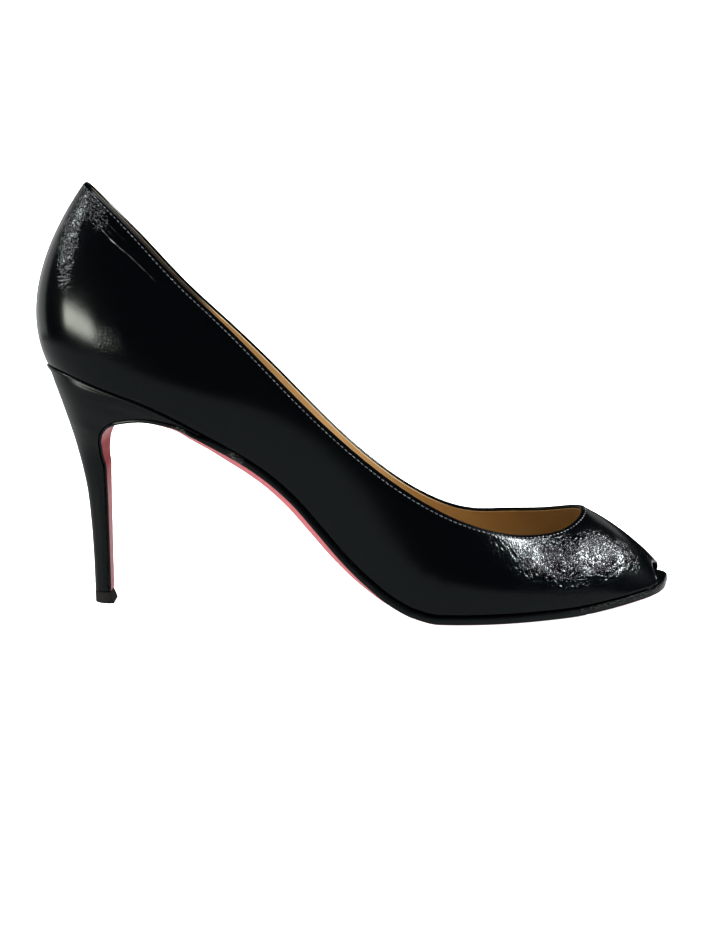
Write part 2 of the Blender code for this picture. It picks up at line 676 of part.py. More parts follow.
def heel_sections(outline):
    """The heel as sections from its seat to its tip, and for each its front end and half widths there."""
    back = along_to_x(0.0)
    outer_side, inner_side = sides(outline)
    curve = breast_path()
    curve_length = length_to(curve)
    share = (1 - np.cos(np.linspace(0.0, math.pi / 2, SEAT_POINTS))) ** SEAT_CROWDING
    seat_back = back + SHOE_LENGTH * BLUNT / 2
    seat_x = seat_back + (back + LIP_LENGTH - seat_back) * share
    square = bottom_square(seat_x)
    outer_y, inner_y = side_at(outer_side, seat_x), side_at(inner_side, seat_x)
    seat_half = (inner_y.max() - outer_y.min()) / 2

    def section(rear, front, widths, bow):
        x = rear[0] + (front[0] - rear[0]) * share
        z = rear[1] + (front[1] - rear[1]) * share + bow
        outer = np.column_stack([x, widths[0], z])
        inner = np.column_stack([x, widths[1], z])
        return np.vstack([outer[::-1], inner])

    def rear_at(up):
        forward = monotone(column(HEEL_BACK, 0), column(HEEL_BACK, 1), up)
        return np.array([back + float(forward) * HEEL_PITCH, up * HEEL_HEIGHT])

    def rounded(full, turn):
        part = np.minimum(share / turn, 1.0)
        return full * np.sqrt(1 - (1 - part) ** 2)

    rows = []
    fronts = []
    for depth in (GAP, GAP + LIP_TIP):
        x = seat_x - square[:, 0] * depth
        z = bottom_height(seat_x) - square[:, 1] * depth
        outer = np.column_stack([x, outer_y, z])
        inner = np.column_stack([x, inner_y, z])
        rows.append(np.vstack([outer[::-1], inner]))
        fronts.append((x[-1], z[-1], outer_y[-1], inner_y[-1]))
    seat_line = bottom_height(seat_x)
    seat_bow = seat_line - (seat_line[0] + (seat_line[-1] - seat_line[0]) * share)
    for rear, front, width, seat in HEEL_FLARE:
        half = seat_half * width
        turn = SEAT_ROUND * seat + STEM_ROUND * (1 - seat)
        round_y = rounded(half, turn)
        widths = (
            width * outer_y * seat - round_y * (1 - seat),
            width * inner_y * seat + round_y * (1 - seat),
        )
        place = resampled(curve, np.array([front * curve_length[-1]]))[0]
        rows.append(section(rear_at(rear), place, widths, seat_bow * seat))
        fronts.append((place[0], place[1], widths[0][-1], widths[1][-1]))
    low = LIFT_HEIGHT + GAP
    for step in np.linspace(0.0, 1.0, STEM_SECTIONS + 1):
        z = HEEL_HEIGHT * STEM_TOP * (1 - step) + low * step
        rear = rear_at(z / HEEL_HEIGHT)
        place = np.array([back + HEEL_PITCH, z])
        wider = (seat_half * STEM_ROOT - STEM_WIDTH / 2) * (1 - step) ** STEM_THINNING
        half = (TIP_WIDTH * step + STEM_WIDTH * (1 - step)) / 2 + wider
        round_y = rounded(half, STEM_ROUND)
        rows.append(section(rear, place, (-round_y, round_y), 0.0))
        fronts.append((place[0], place[1], -half, half))
    return np.array(rows), np.array(fronts)


def make_heel(rows, material):
    points, faces = tube_of_sections(rows)
    return add_object("heel", points, faces, material)


def make_top_lift(rows, material):
    """The top lift carries on from the heel's tip and stands out a little at the front, on the floor."""
    tip = rows[-1]
    back, front = tip[:, 0].min(), tip[:, 0].max()
    forward = (tip[:, 0] - back) / (front - back)
    sections = []
    for up, flare in LIFT_FORM:
        section = tip.copy()
        section[:, 0] += forward * LIFT_FLARE * flare
        section[:, 2] = up * LIFT_HEIGHT
        sections.append(section)
    points, faces = tube_of_sections(sections)
    return add_object("top_lift", points, faces, material)


def sole_section(top, down, left, right, edge, dome):
    """A cross section of the outsole: flat on top, rounded below. top is X and Z, down points out of it."""
    across = np.linspace(0.0, 1.0, SOLE_COLUMNS + 1)
    y = left + (right - left) * across
    thick = edge + dome * (1 - np.abs(2 * across - 1) ** DOME_SQUARE)
    over = [(top[0], side, top[1]) for side in y]
    under = [(top[0] + down[0] * t, side, top[1] + down[1] * t) for side, t in zip(y, thick)]
    return over + under[::-1]


def make_outsole(outline, fronts, material):
    """One strip: toe, tread, rounded waist, under the heel's lip, and down the front of the heel."""
    share = outline[:, 0] / SHOE_LENGTH + BALL_AT
    margin = monotone(column(SOLE_FORM, 0), column(SOLE_FORM, 3), share) * SOLE_MARGIN
    rim = grown(outline, margin)
    outer_side, inner_side = sides(rim)
    first = rim[:, 0].max() - SHOE_LENGTH * BLUNT
    last = along_to_x(0.0) + LIP_LENGTH + LIP_STEP
    turn = np.linspace(0.0, math.pi / 2, SOLE_TOE_STATIONS)
    round_toe = first - (1 - np.cos(turn)) * SOLE_TOE * SHOE_LENGTH
    x = np.concatenate([round_toe, np.linspace(round_toe[-1], last, SOLE_STATIONS - len(turn) + 1)[1:]])
    square = bottom_square(x)
    share = x / SHOE_LENGTH + BALL_AT
    edge = monotone(column(SOLE_FORM, 0), column(SOLE_FORM, 1), share) * SOLE_EDGE
    dome = monotone(column(SOLE_FORM, 0), column(SOLE_FORM, 2), share) * WAIST_DOME
    left, right = side_at(outer_side, x), side_at(inner_side, x)
    sections = []
    for i, place in enumerate(x):
        top = np.array([place, bottom_height(place)]) - square[i] * GAP
        sections.append(sole_section(top, -square[i], left[i], right[i], edge[i], dome[i]))
    line = fronts[1:, :2]
    along = np.gradient(line, axis=0)
    out = unit(np.column_stack([along[:, 1], -along[:, 0]]))
    out = -out * np.sign(out[0, 1])
    length = length_to(line)
    lip_way = np.clip((line[:, 0] - line[:, 0].min()) / (line[0, 0] - line[:, 0].min()), 0.0, 1.0)
    lip_way[np.argmin(line[:, 0]):] = 0.0
    at_lip = edge[-1] - LIP_TIP - GAP
    for i in range(len(line)):
        thick = FLAP_THICKNESS + (at_lip - FLAP_THICKNESS) * lip_way[i]
        inset = FLAP_INSET * min(1.0, length[i] / LIP_DEPTH)
        left_y, right_y = fronts[i + 1, 2] + inset, fronts[i + 1, 3] - inset
        top = line[i] + out[i] * GAP
        sections.append(sole_section(top, out[i], left_y, right_y, thick, dome[-1] * lip_way[i] ** LIP_DOME))
    points, faces = tube_of_sections(sections)
    return add_object("outsole", points, faces, material)


def main():
    clear_scene()
    bpy.context.scene.unit_settings.system = "METRIC"
    outline = outline_loop()
    leather = add_material("black leather")
    make_upper(outline, leather)
    make_insole(outline, add_material("tan lining"))
    rows, fronts = heel_sections(outline)
    make_heel(rows, leather)
    make_outsole(outline, fronts, add_material("red sole"))
    make_top_lift(rows, add_material("black rubber"))


main()
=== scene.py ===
# %% [markdown]
# # A black peep toe pump, made up over its CAD model
# The shoe is a right-foot pump on a thin covered heel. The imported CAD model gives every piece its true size
# and place. This lesson lays the visible shoe over it: the folded edge and its stitches, the tan lining, the
# creases of wear, the black edge and red underside of the sole, and the leather itself.
#
# All lengths are metres. +X runs from heel to toe, +Y is the inner side of the foot, +Z is up, and the floor
# is z = 0. We start by loading the model and noting how large it is.

import math

import bmesh
import bpy
import numpy as np
from mathutils import Matrix


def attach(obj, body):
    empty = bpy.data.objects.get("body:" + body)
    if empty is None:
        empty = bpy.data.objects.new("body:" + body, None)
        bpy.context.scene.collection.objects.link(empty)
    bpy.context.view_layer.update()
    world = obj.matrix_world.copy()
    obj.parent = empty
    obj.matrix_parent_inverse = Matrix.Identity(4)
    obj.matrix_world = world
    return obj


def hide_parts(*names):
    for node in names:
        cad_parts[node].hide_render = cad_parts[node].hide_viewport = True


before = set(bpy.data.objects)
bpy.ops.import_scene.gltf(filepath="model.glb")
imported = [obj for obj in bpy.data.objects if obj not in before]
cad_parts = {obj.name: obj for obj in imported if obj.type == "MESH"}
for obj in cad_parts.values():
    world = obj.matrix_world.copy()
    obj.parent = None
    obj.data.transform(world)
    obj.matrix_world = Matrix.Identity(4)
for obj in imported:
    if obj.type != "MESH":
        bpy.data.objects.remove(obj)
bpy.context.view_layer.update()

# %% [markdown]
# ## The camera
# The photograph was taken from the outer side, a little above the shoe and slightly towards its heel. The
# place was worked out from points whose height is known, such as the floor under the heel and the ball.
# The three axes of the view are built by hand, so the camera's turn follows from where it stands.

# %% Set up the camera
VIEW_TARGET = np.array([-0.0326, 0.0, 0.0462])
VIEW_DISTANCE = 0.430
VIEW_UP = math.radians(8.5)
VIEW_ROUND = math.radians(-3.0)
FOCAL_PIXELS = 1201.0  # focal length in pixels of a picture 943 high
PICTURE_HEIGHT = 943
SENSOR_HEIGHT = 36.0  # millimetres

backwards = np.array([
    math.sin(VIEW_ROUND) * math.cos(VIEW_UP),
    -math.cos(VIEW_ROUND) * math.cos(VIEW_UP),
    math.sin(VIEW_UP),
])
rightwards = np.cross(-backwards, [0.0, 0.0, 1.0])
rightwards /= np.linalg.norm(rightwards)
upwards = np.cross(rightwards, -backwards)
eye = VIEW_TARGET + backwards * VIEW_DISTANCE

camera = bpy.data.objects.new("camera", bpy.data.cameras.new("camera"))
bpy.context.scene.collection.objects.link(camera)


def stood(place, right, up, back):
    """The turn and place of a camera or a lamp, from its three axes."""
    rows = [[right[i], up[i], back[i], place[i]] for i in range(3)]
    return Matrix(rows + [[0.0, 0.0, 0.0, 1.0]])


camera.matrix_world = stood(eye, rightwards, upwards, backwards)
camera.data.sensor_fit = "VERTICAL"
camera.data.sensor_height = SENSOR_HEIGHT
camera.data.lens = SENSOR_HEIGHT * FOCAL_PIXELS / PICTURE_HEIGHT
camera.data.clip_start = 0.01
bpy.context.scene.camera = camera
print("camera at", np.round(eye, 4), "lens", round(camera.data.lens, 2), "mm")

# %% [markdown]
# ## Curves and rows of points
# Every piece of a shoe is a skin drawn over a last, so we need few tools: a smooth curve that never
# overshoots its points, a smooth closed curve, and ways to walk along a path. They are the same
# ones that shaped the CAD solids, so the skins fall exactly where the solids are.

# %% Curve helpers
def unit(vectors):
    """The vectors with length 1."""
    return vectors / np.maximum(np.linalg.norm(vectors, axis=-1, keepdims=True), 1e-12)


def column(table, number):
    return np.array([row[number] for row in table], float)


def monotone(knots, values, at):
    """A smooth curve through the values that never overshoots them, read at the places asked for."""
    knots, values, at = (np.asarray(part, float) for part in (knots, values, at))
    step = np.diff(knots)
    slope = np.diff(values) / step
    tangent = np.zeros(len(knots))
    tangent[0], tangent[-1] = slope[0], slope[-1]
    same_way = slope[:-1] * slope[1:] > 0
    first, second = 2 * step[1:] + step[:-1], step[1:] + 2 * step[:-1]
    below = np.where(same_way, slope[:-1], 1.0)
    above = np.where(same_way, slope[1:], 1.0)
    tangent[1:-1] = np.where(same_way, (first + second) / (first / below + second / above), 0.0)
    k = np.clip(np.searchsorted(knots, at) - 1, 0, len(step) - 1)
    h = step[k]
    t = np.clip((at - knots[k]) / h, 0.0, 1.0)
    return (
        (1 + 2 * t) * (1 - t) ** 2 * values[k]
        + t * (1 - t) ** 2 * h * tangent[k]
        + t * t * (3 - 2 * t) * values[k + 1]
        + t * t * (t - 1) * h * tangent[k + 1]
    )


def closed_curve(points, samples):
    """A smooth closed curve through the points, and where on it each given point is."""
    points = np.asarray(points, float)
    count = len(points)
    chord = np.linalg.norm(np.roll(points, -1, axis=0) - points, axis=1)
    before = np.roll(chord, 1)
    system = np.zeros((count, count))
    right = np.zeros_like(points)
    for i in range(count):
        system[i, i - 1] = chord[i]
        system[i, i] = 2 * (chord[i] + before[i])
        system[i, (i + 1) % count] = before[i]
        back = (points[i] - points[i - 1]) / before[i]
        ahead = (points[(i + 1) % count] - points[i]) / chord[i]
        right[i] = 3 * (chord[i] * back + before[i] * ahead)
    tangent = np.linalg.solve(system, right)
    knots = np.concatenate([[0.0], np.cumsum(chord)])
    at = np.linspace(0.0, knots[-1], samples, endpoint=False)
    k = np.clip(np.searchsorted(knots, at, side="right") - 1, 0, count - 1)
    h = chord[k][:, None]
    t = ((at - knots[k]) / chord[k])[:, None]
    after = (k + 1) % count
    curve = (
        (1 + 2 * t) * (1 - t) ** 2 * points[k]
        + t * (1 - t) ** 2 * h * tangent[k]
        + t * t * (3 - 2 * t) * points[after]
        + t * t * (t - 1) * h * tangent[after]
    )
    return curve, knots[:-1] / knots[-1] * samples


def length_to(path):
    """How far along the path each of its points is."""
    return np.concatenate([[0.0], np.cumsum(np.linalg.norm(np.diff(path, axis=0), axis=1))])


def resampled(path, places):
    """Points of a path at given distances from its start."""
    distance = length_to(path)
    return np.stack([np.interp(places, distance, path[:, axis]) for axis in range(path.shape[1])], axis=-1)


def spread(count, crowd):
    """Steps from 0 to 1, closer together at both ends."""
    t = np.linspace(0.0, 1.0, count + 1)
    return t - crowd * np.sin(2 * math.pi * t) / (2 * math.pi)


print("a straight run stays straight:", monotone([0, 1, 2], [0, 1, 2], [0.5, 1.5]))

# %% [markdown]
# ## The last
# A last is the foot-shaped form that a shoe is made on. Its bottom line, seen from the side, and its
# feather outline, seen from above, carry the sole, the insole and the heel. Shares are used, so
# that the tables keep their sense when a size changes.

# %% The bottom of the last
SHOE_LENGTH = 0.2236
BALL_WIDTH = 0.0750
HEEL_HEIGHT = 0.0857
BACK_HEIGHT = 0.0613
TOE_SPRING = 0.0034
SOLE_EDGE = 0.0026
GAP = 0.0003
BALL_AT = 0.6208
TIP_SIDE = 0.111
CURVE_STEPS = 3000

BOTTOM_LINE = (
    # along, rise, spring
    (-0.020, 1.018, 0.00), (0.000, 1.000, 0.00), (0.040, 0.965, 0.00), (0.084, 0.918, 0.00),
    (0.168, 0.832, 0.00), (0.250, 0.714, 0.00), (0.315, 0.607, 0.00), (0.352, 0.533, 0.00),
    (0.388, 0.443, 0.00), (0.424, 0.332, 0.00), (0.460, 0.222, 0.00), (0.496, 0.131, 0.00),
    (0.530, 0.062, 0.00), (0.562, 0.020, 0.00), (0.597, 0.000, 0.00), (0.800, 0.000, 0.00),
    (0.860, 0.000, 0.22), (0.930, 0.000, 0.62), (1.000, 0.000, 1.00), (1.020, 0.000, 1.12),
)
OUTLINE = (
    # along, outer, inner
    (0.0180, 0.162, 0.164), (0.0600, 0.276, 0.278), (0.1200, 0.334, 0.330), (0.1750, 0.348, 0.334),
    (0.2450, 0.330, 0.304), (0.3300, 0.296, 0.262), (0.4200, 0.340, 0.298), (0.4950, 0.424, 0.366),
    (0.5650, 0.494, 0.426), (0.6200, 0.520, 0.458), (0.6850, 0.514, 0.480), (0.7500, 0.472, 0.474),
    (0.8150, 0.402, 0.442), (0.8750, 0.316, 0.396), (0.9300, 0.219, 0.336), (0.9600, 0.144, 0.283),
    (0.9800, 0.057, 0.231), (0.9920, -0.029, 0.185),
)


def along_to_x(share):
    return (np.asarray(share, float) - BALL_AT) * SHOE_LENGTH


def x_to_along(x):
    return np.asarray(x, float) / SHOE_LENGTH + BALL_AT


def bottom_height(x):
    """Height of the feather line over the floor."""
    shape = np.shape(x)
    share = np.ravel(x_to_along(x))
    knots = column(BOTTOM_LINE, 0)
    lowest = SOLE_EDGE + GAP
    rise = monotone(knots, column(BOTTOM_LINE, 1), share) * (HEEL_HEIGHT - lowest)
    spring = monotone(knots, column(BOTTOM_LINE, 2), share) * TOE_SPRING
    return (lowest + rise + spring).reshape(shape)


def bottom_square(x):
    """The direction square to the bottom of the last, upwards, as X and Z."""
    step = SHOE_LENGTH * 1e-3
    slope = (bottom_height(x + step) - bottom_height(x - step)) / (2 * step)
    return unit(np.stack([-slope, np.ones_like(slope)], axis=-1))


def outline_loop():
    """The feather outline as X and Y, from the back round the outer side to the tip and home."""
    points = [(0.0, 0.0)]
    points += [(along, -outer) for along, outer, _ in OUTLINE]
    points += [(1.0, TIP_SIDE)]
    points += [(along, inner) for along, _, inner in reversed(OUTLINE)]
    shares = np.array(points)
    plan = np.stack([along_to_x(shares[:, 0]), shares[:, 1] * BALL_WIDTH], axis=-1)
    return closed_curve(plan, CURVE_STEPS)[0]


def grown(loop, margin):
    """A plan outline moved outwards by a margin, which may differ from point to point."""
    along = unit(np.roll(loop, -1, axis=0) - np.roll(loop, 1, axis=0))
    outwards = np.stack([along[:, 1], -along[:, 0]], axis=-1)
    if np.sum(outwards * (loop - loop.mean(axis=0))) < 0:
        outwards = -outwards
    return loop + outwards * np.broadcast_to(margin, len(loop))[:, None]


def sides(loop):
    """The outer and the inner side of an outline, each from its back to its tip."""
    back, tip = int(np.argmin(loop[:, 0])), int(np.argmax(loop[:, 0]))
    turned = np.roll(loop, -back, axis=0)
    tip = (tip - back) % len(loop)
    first, second = turned[: tip + 1], np.vstack([turned[tip:], turned[:1]])[::-1]
    return (first, second) if first[:, 1].mean() < second[:, 1].mean() else (second, first)


def side_at(side, x):
    """Y of one side of an outline at each x."""
    return np.interp(x, np.maximum.accumulate(side[:, 0]), side[:, 1])


outline = outline_loop()
outline_sides = sides(outline)
print("feather outline:", round(1000 * length_to(outline)[-1], 1), "mm round")

# %% [markdown]
# ## Turning rows of points into a skin
# A skin is a grid of points whose rows may close into a ring. One helper turns any such grid into a mesh,
# checks that its faces look outwards, and can hang numbers on the points, which the leather reads later
# to know where it is creased or worn.

# %% Skin helpers
def faces_of_grid(count, rows, ring, tube):
    """Quads of a grid of points; ring closes it from last to first, tube closes each row on itself."""
    i = np.arange(count if ring else count - 1)[:, None]
    j = np.arange(rows if tube else rows - 1)[None, :]
    here, there = i * rows, ((i + 1) % count) * rows
    after = (j + 1) % rows
    quads = np.stack([here + j, there + j, there + after, here + after], axis=-1)
    return quads.reshape(-1, 4)


def size_inside(points, faces):
    """Signed volume; it is negative where the faces look inwards."""
    total = 0.0
    for a, b, c in ((0, 1, 2), (0, 2, 3)):
        corners = points[faces[:, (a, b, c)]]
        total += np.einsum("ij,ij->i", corners[:, 0], np.cross(corners[:, 1], corners[:, 2])).sum() / 6
    return total


def make_piece(name, points, faces, numbers=None, sharp=None):
    """One named piece; numbers are values that its points carry."""
    points = np.asarray(points, float).reshape(-1, 3)
    faces = np.asarray(faces)
    if size_inside(points, faces) < 0:
        faces = faces[:, ::-1]
    mesh = bpy.data.meshes.new(name)
    mesh.from_pydata(points.tolist(), [], faces.tolist())
    for title, values in (numbers or {}).items():
        layer = mesh.attributes.new(title, "FLOAT", "POINT")
        layer.data.foreach_set("value", np.ascontiguousarray(np.ravel(values), np.float32))
    mesh.shade_smooth()
    if sharp:
        mesh.set_sharp_from_angle(angle=math.radians(sharp))
    piece = bpy.data.objects.new(name, mesh)
    bpy.context.scene.collection.objects.link(piece)
    return piece


def closed_up(piece, within=2e-6):
    """Joins the points that fall on each other, such as those at a tip, and drops what has no area."""
    work = bmesh.new()
    work.from_mesh(piece.data)
    bmesh.ops.remove_doubles(work, verts=work.verts, dist=within)
    bmesh.ops.dissolve_degenerate(work, edges=work.edges, dist=within / 10)
    bmesh.ops.recalc_face_normals(work, faces=work.faces)
    work.to_mesh(piece.data)
    work.free()
    return piece


def tube_faces(many, size):
    """Faces of closed sections, one after the other, with flat ends."""
    walls = faces_of_grid(many, size, False, True)
    i = np.arange(size // 2 - 1)
    last = (many - 1) * size
    first_end = np.stack([i, size - 1 - i, size - 2 - i, i + 1], axis=-1)
    last_end = last + np.stack([i, i + 1, size - 2 - i, size - 1 - i], axis=-1)
    return np.vstack([walls[:, ::-1], first_end, last_end])


print("grid helper:", len(faces_of_grid(4, 3, True, False)), "faces from a ring of 4 by 3 points")

# %% [markdown]
# ## The line of the topline and how the upper rises to it
# On the real shoe one piece of leather is pulled over the last. It leaves the feather line at an angle,
# bulges, and reaches the topline with another lean. A cubic curve per rib says just that: where it starts,
# how it leaves, how it arrives. In front the ribs start from the arch of the peep toe instead.

# %% Tables for the upper
WALL = 0.0016
PEEP_HEIGHT, PEEP_OUTER, PEEP_INNER = 0.0048, 0.0173, 0.0038
PEEP_SETBACK, PEEP_FULLNESS, PEEP_CLIMB = 0.0046, 0.9, 2.0
TOPLINE_BACK = (0.0680, 1.094, 38.0)
TOPLINE_THROAT = (0.8470, 0.486, 68.0)
OUTER_TOPLINE = (
    # along, height, side, lean
    (0.0745, 1.078, 0.105, 34.0), (0.0970, 1.026, 0.178, 27.0), (0.1400, 0.926, 0.246, 20.0),
    (0.2100, 0.768, 0.292, 15.0), (0.2740, 0.679, 0.318, 12.0), (0.3610, 0.576, 0.346, 9.0),
    (0.4500, 0.612, 0.386, 8.0), (0.5380, 0.632, 0.436, 11.0), (0.6270, 0.519, 0.452, 18.0),
    (0.6950, 0.436, 0.408, 28.0), (0.7500, 0.405, 0.324, 40.0), (0.7980, 0.412, 0.234, 52.0),
    (0.8300, 0.448, 0.140, 62.0),
)
INNER_TOPLINE = (
    # along, height, side, lean
    (0.0745, 1.078, 0.105, 34.0), (0.0970, 1.024, 0.178, 27.0), (0.1400, 0.918, 0.246, 20.0),
    (0.2100, 0.760, 0.290, 15.0), (0.2740, 0.672, 0.314, 12.0), (0.3610, 0.582, 0.340, 9.0),
    (0.4500, 0.600, 0.376, 8.0), (0.5380, 0.592, 0.420, 11.0), (0.6180, 0.478, 0.440, 18.0),
    (0.6850, 0.404, 0.418, 28.0), (0.7450, 0.416, 0.344, 40.0), (0.7960, 0.440, 0.240, 52.0),
    (0.8300, 0.468, 0.140, 62.0),
)
WALL_FORM = (
    # along, flare in degrees, how long the wall keeps its direction low down and high up
    (0.000, 41.0, 0.370, 0.310), (0.060, 30.0, 0.360, 0.300), (0.140, 22.0, 0.360, 0.320),
    (0.250, 24.0, 0.380, 0.340), (0.360, 27.0, 0.380, 0.340), (0.470, 22.0, 0.380, 0.340),
    (0.600, 14.0, 0.380, 0.340), (0.750, 9.0, 0.420, 0.360), (0.850, 3.0, 0.350, 0.380),
    (0.920, -8.0, 0.200, 0.360), (0.960, -17.0, 0.140, 0.340), (1.000, -28.0, 0.120, 0.320),
    (1.050, -36.0, 0.220, 0.430),
)
RIBS = (
    # foot on the feather line, head on the topline
    (0.168, 0.238), (0.352, 0.428), (0.497, 0.566), (0.621, 0.652),
    (0.755, 0.738), (0.870, 0.806), (0.968, 0.8415),
)


def topline_sides():
    """The topline's outer and inner half, from the back to the throat: X, Y, Z and lean."""
    back, throat = TOPLINE_BACK, TOPLINE_THROAT
    points = [(back[0], back[1], 0.0, back[2])]
    points += [(along, height, -side, lean) for along, height, side, lean in OUTER_TOPLINE]
    points += [(throat[0], throat[1], 0.0, throat[2])]
    points += [(along, height, side, lean) for along, height, side, lean in reversed(INNER_TOPLINE)]
    shares = np.array(points)
    x = along_to_x(shares[:, 0])
    place = np.stack([x, shares[:, 2] * BALL_WIDTH, bottom_height(x) + shares[:, 1] * BACK_HEIGHT], axis=-1)
    loop, places = closed_curve(place, CURVE_STEPS)
    half = int(round(places[len(OUTER_TOPLINE) + 1]))
    leans = np.append(shares[:, 3], back[2])
    lean = np.interp(np.arange(CURVE_STEPS), np.append(places, CURVE_STEPS), leans)
    whole = np.column_stack([loop, lean])
    return whole[: half + 1], np.vstack([whole[half:], whole[:1]])[::-1]


def peep_arch(outer_side, inner_side):
    """The peep toe's edge, the way out of it, how far up its arch each point is, and its corners' places."""
    tip = outer_side[-1]
    outer_at = np.argmin(np.abs(outer_side[:, 1] - (tip[1] - PEEP_OUTER)) + (outer_side[:, 0] < 0))
    inner_at = np.argmin(np.abs(inner_side[:, 1] - (tip[1] + PEEP_INNER)) + (inner_side[:, 0] < 0))
    facing = []
    for side, at, sign in ((outer_side, outer_at, 1), (inner_side, inner_at, -1)):
        along = unit(side[at + 1] - side[at - 1])
        facing.append(np.array([along[1], -along[0]]) * sign)
    front = np.vstack([outer_side[outer_at:], inner_side[inner_at:-1][::-1]])
    turn = np.linspace(0.0, math.pi, 401)
    rise = np.sin(turn)
    plan = resampled(front, (1 - np.cos(turn)) / 2 * length_to(front)[-1])
    edge = np.column_stack([plan, bottom_height(plan[:, 0]) + rise**PEEP_FULLNESS * PEEP_HEIGHT])
    edge[:, 0] -= rise**PEEP_CLIMB * PEEP_SETBACK
    along = unit(np.gradient(plan, axis=0))
    flat = np.column_stack([along[:, 1], -along[:, 0]])
    flat[0], flat[-1] = facing
    return edge, np.column_stack([flat, np.zeros(len(flat))]), rise, outer_at, inner_at


def wall_foot(side, corner, arch, arch_out, rise, outwards):
    """One side of the upper's lower edge, its facing there, the way its thickness goes, and its place."""
    plan = side[: corner + 1]
    feather = np.column_stack([plan, bottom_height(plan[:, 0])])
    square = bottom_square(plan[:, 0])
    up = np.column_stack([square[:, 0], np.zeros(len(plan)), square[:, 1]])
    along = unit(np.gradient(feather, axis=0))
    along[0] = (0.0, outwards, 0.0)
    out = np.vstack([unit(np.cross(along, up)) * -outwards, arch_out[1:]])
    up = np.vstack([up, np.tile(up[-1], (len(arch) - 1, 1))])
    share = x_to_along(plan[:, 0])
    share = np.append(share, share[-1] + (WALL_FORM[-1][0] - share[-1]) * rise[1:] ** 2)
    flare = np.radians(monotone(column(WALL_FORM, 0), column(WALL_FORM, 1), share))[:, None]
    facing = np.cos(flare) * out - np.sin(flare) * up
    turned = np.append(np.zeros(len(plan)), rise[1:])[:, None]
    return np.vstack([feather, arch[1:]]), facing, unit(out * (1 - turned) + facing * turned), share


def half_of_ribs(side, corner, arch, arch_out, rise, topline, outwards, ribs):
    """For each rib of one half: its four control points, its way in at the foot, and its place above."""
    foot, facing, inwards, share = wall_foot(side, corner, arch, arch_out, rise, outwards)
    foot_length, head_length = length_to(foot), length_to(topline[:, :3])
    pairs_foot, pairs_head = [0.0], [0.0]
    for foot_share, head_share in RIBS:
        pairs_foot.append(np.interp(along_to_x(foot_share), foot[: corner + 1, 0], foot_length[: corner + 1]))
        head_x = np.maximum.accumulate(topline[:, 0])
        pairs_head.append(np.interp(along_to_x(head_share), head_x, head_length))
    pairs_foot.append(foot_length[-1])
    pairs_head.append(head_length[-1])
    places = spread(ribs, 0.40) * foot_length[-1]
    heads = monotone(pairs_foot, pairs_head, places)
    start = resampled(foot, places)
    start_face = unit(np.stack([np.interp(places, foot_length, facing[:, a]) for a in range(3)], axis=-1))
    start_in = unit(np.stack([np.interp(places, foot_length, inwards[:, a]) for a in range(3)], axis=-1))
    reach = np.interp(places, foot_length, share)
    end = resampled(topline[:, :3], heads)
    lean = np.radians(np.interp(heads, head_length, topline[:, 3]))[:, None]
    step = 1e-3 * head_length[-1]
    along = unit(resampled(topline[:, :3], heads + step) - resampled(topline[:, :3], heads - step))
    along[0], along[-1] = (0.0, outwards, 0.0), (0.0, -outwards, 0.0)
    flat = unit(np.column_stack([along[:, 1], -along[:, 0], np.zeros(len(along))])) * -outwards
    raised = np.cross(along, flat)
    raised = unit(raised * np.sign(raised[:, 2:3]))
    end_face = unit(np.cos(lean) * flat + np.sin(lean) * raised)
    chord = end - start
    size = np.linalg.norm(chord, axis=1, keepdims=True)
    leaving = unit(chord - np.sum(chord * start_face, axis=1, keepdims=True) * start_face)
    arriving = unit(chord - np.sum(chord * end_face, axis=1, keepdims=True) * end_face)
    low = monotone(column(WALL_FORM, 0), column(WALL_FORM, 2), reach)[:, None]
    high = monotone(column(WALL_FORM, 0), column(WALL_FORM, 3), reach)[:, None]
    control = np.stack([start, start + leaving * size * low, end - arriving * size * high, end], axis=1)
    return control, start_in, heads


def ribs_of_upper(ribs_per_side):
    """Both halves as one ring: control points, ways in at the foot, and the place along the topline, which
    is counted from the back, minus on the outer side and plus on the inner side."""
    outer_side, inner_side = outline_sides
    arch, out, rise, outer_corner, inner_corner = peep_arch(outer_side, inner_side)
    outer_top, inner_top = topline_sides()
    first, second = slice(0, len(arch) // 2 + 1), slice(None, len(arch) // 2 - 1, -1)
    outer = half_of_ribs(
        outer_side, outer_corner, arch[first], out[first], rise[first], outer_top, -1, ribs_per_side
    )
    inner = half_of_ribs(
        inner_side, inner_corner, arch[second], out[second], rise[second], inner_top, 1, ribs_per_side
    )
    control = np.concatenate([outer[0], inner[0][-2:0:-1]])
    start_in = np.concatenate([outer[1], inner[1][-2:0:-1]])
    return control, start_in, np.concatenate([-outer[2][:-1], inner[2][:0:-1]])


RIBS_PER_SIDE = 250
rib_control, rib_in, rib_from = ribs_of_upper(RIBS_PER_SIDE)
print(len(rib_control), "ribs; topline", round(1000 * (rib_from.max() - rib_from.min()), 1), "mm round")

# %% [markdown]
# ## Walking on the upper by distance below the edge
# A maker measures from the topline: stitches so far below it, a crease so far below it. So each rib is
# cut into rows at fixed distances below its top end, and only the rows lower down share out what is left.
# The direction out of the leather follows from the grid, and at the foot it turns level, as in the CAD.

# %% Rows on the upper
FOLD = WALL / 2
UPPER_STEP = 0.0003
UPPER_BAND = 0.0096
LOWER_ROWS = 64
RIB_SAMPLES = 261
EVEN_ROWS = 53
EVEN_REACH, EVEN_FROM, EVEN_FOOT, EVEN_TOP = 0.0060, np.array([0.800, 0.880]), 0.0015, 0.0050
LEVEL_BELOW = 0.004  # this near the foot the way out starts to turn level


def fade(value, start, end):
    """0 up to start, 1 from end on, and smooth between them."""
    t = np.clip((value - start) / (end - start), 0.0, 1.0)
    return t * t * (3 - 2 * t)


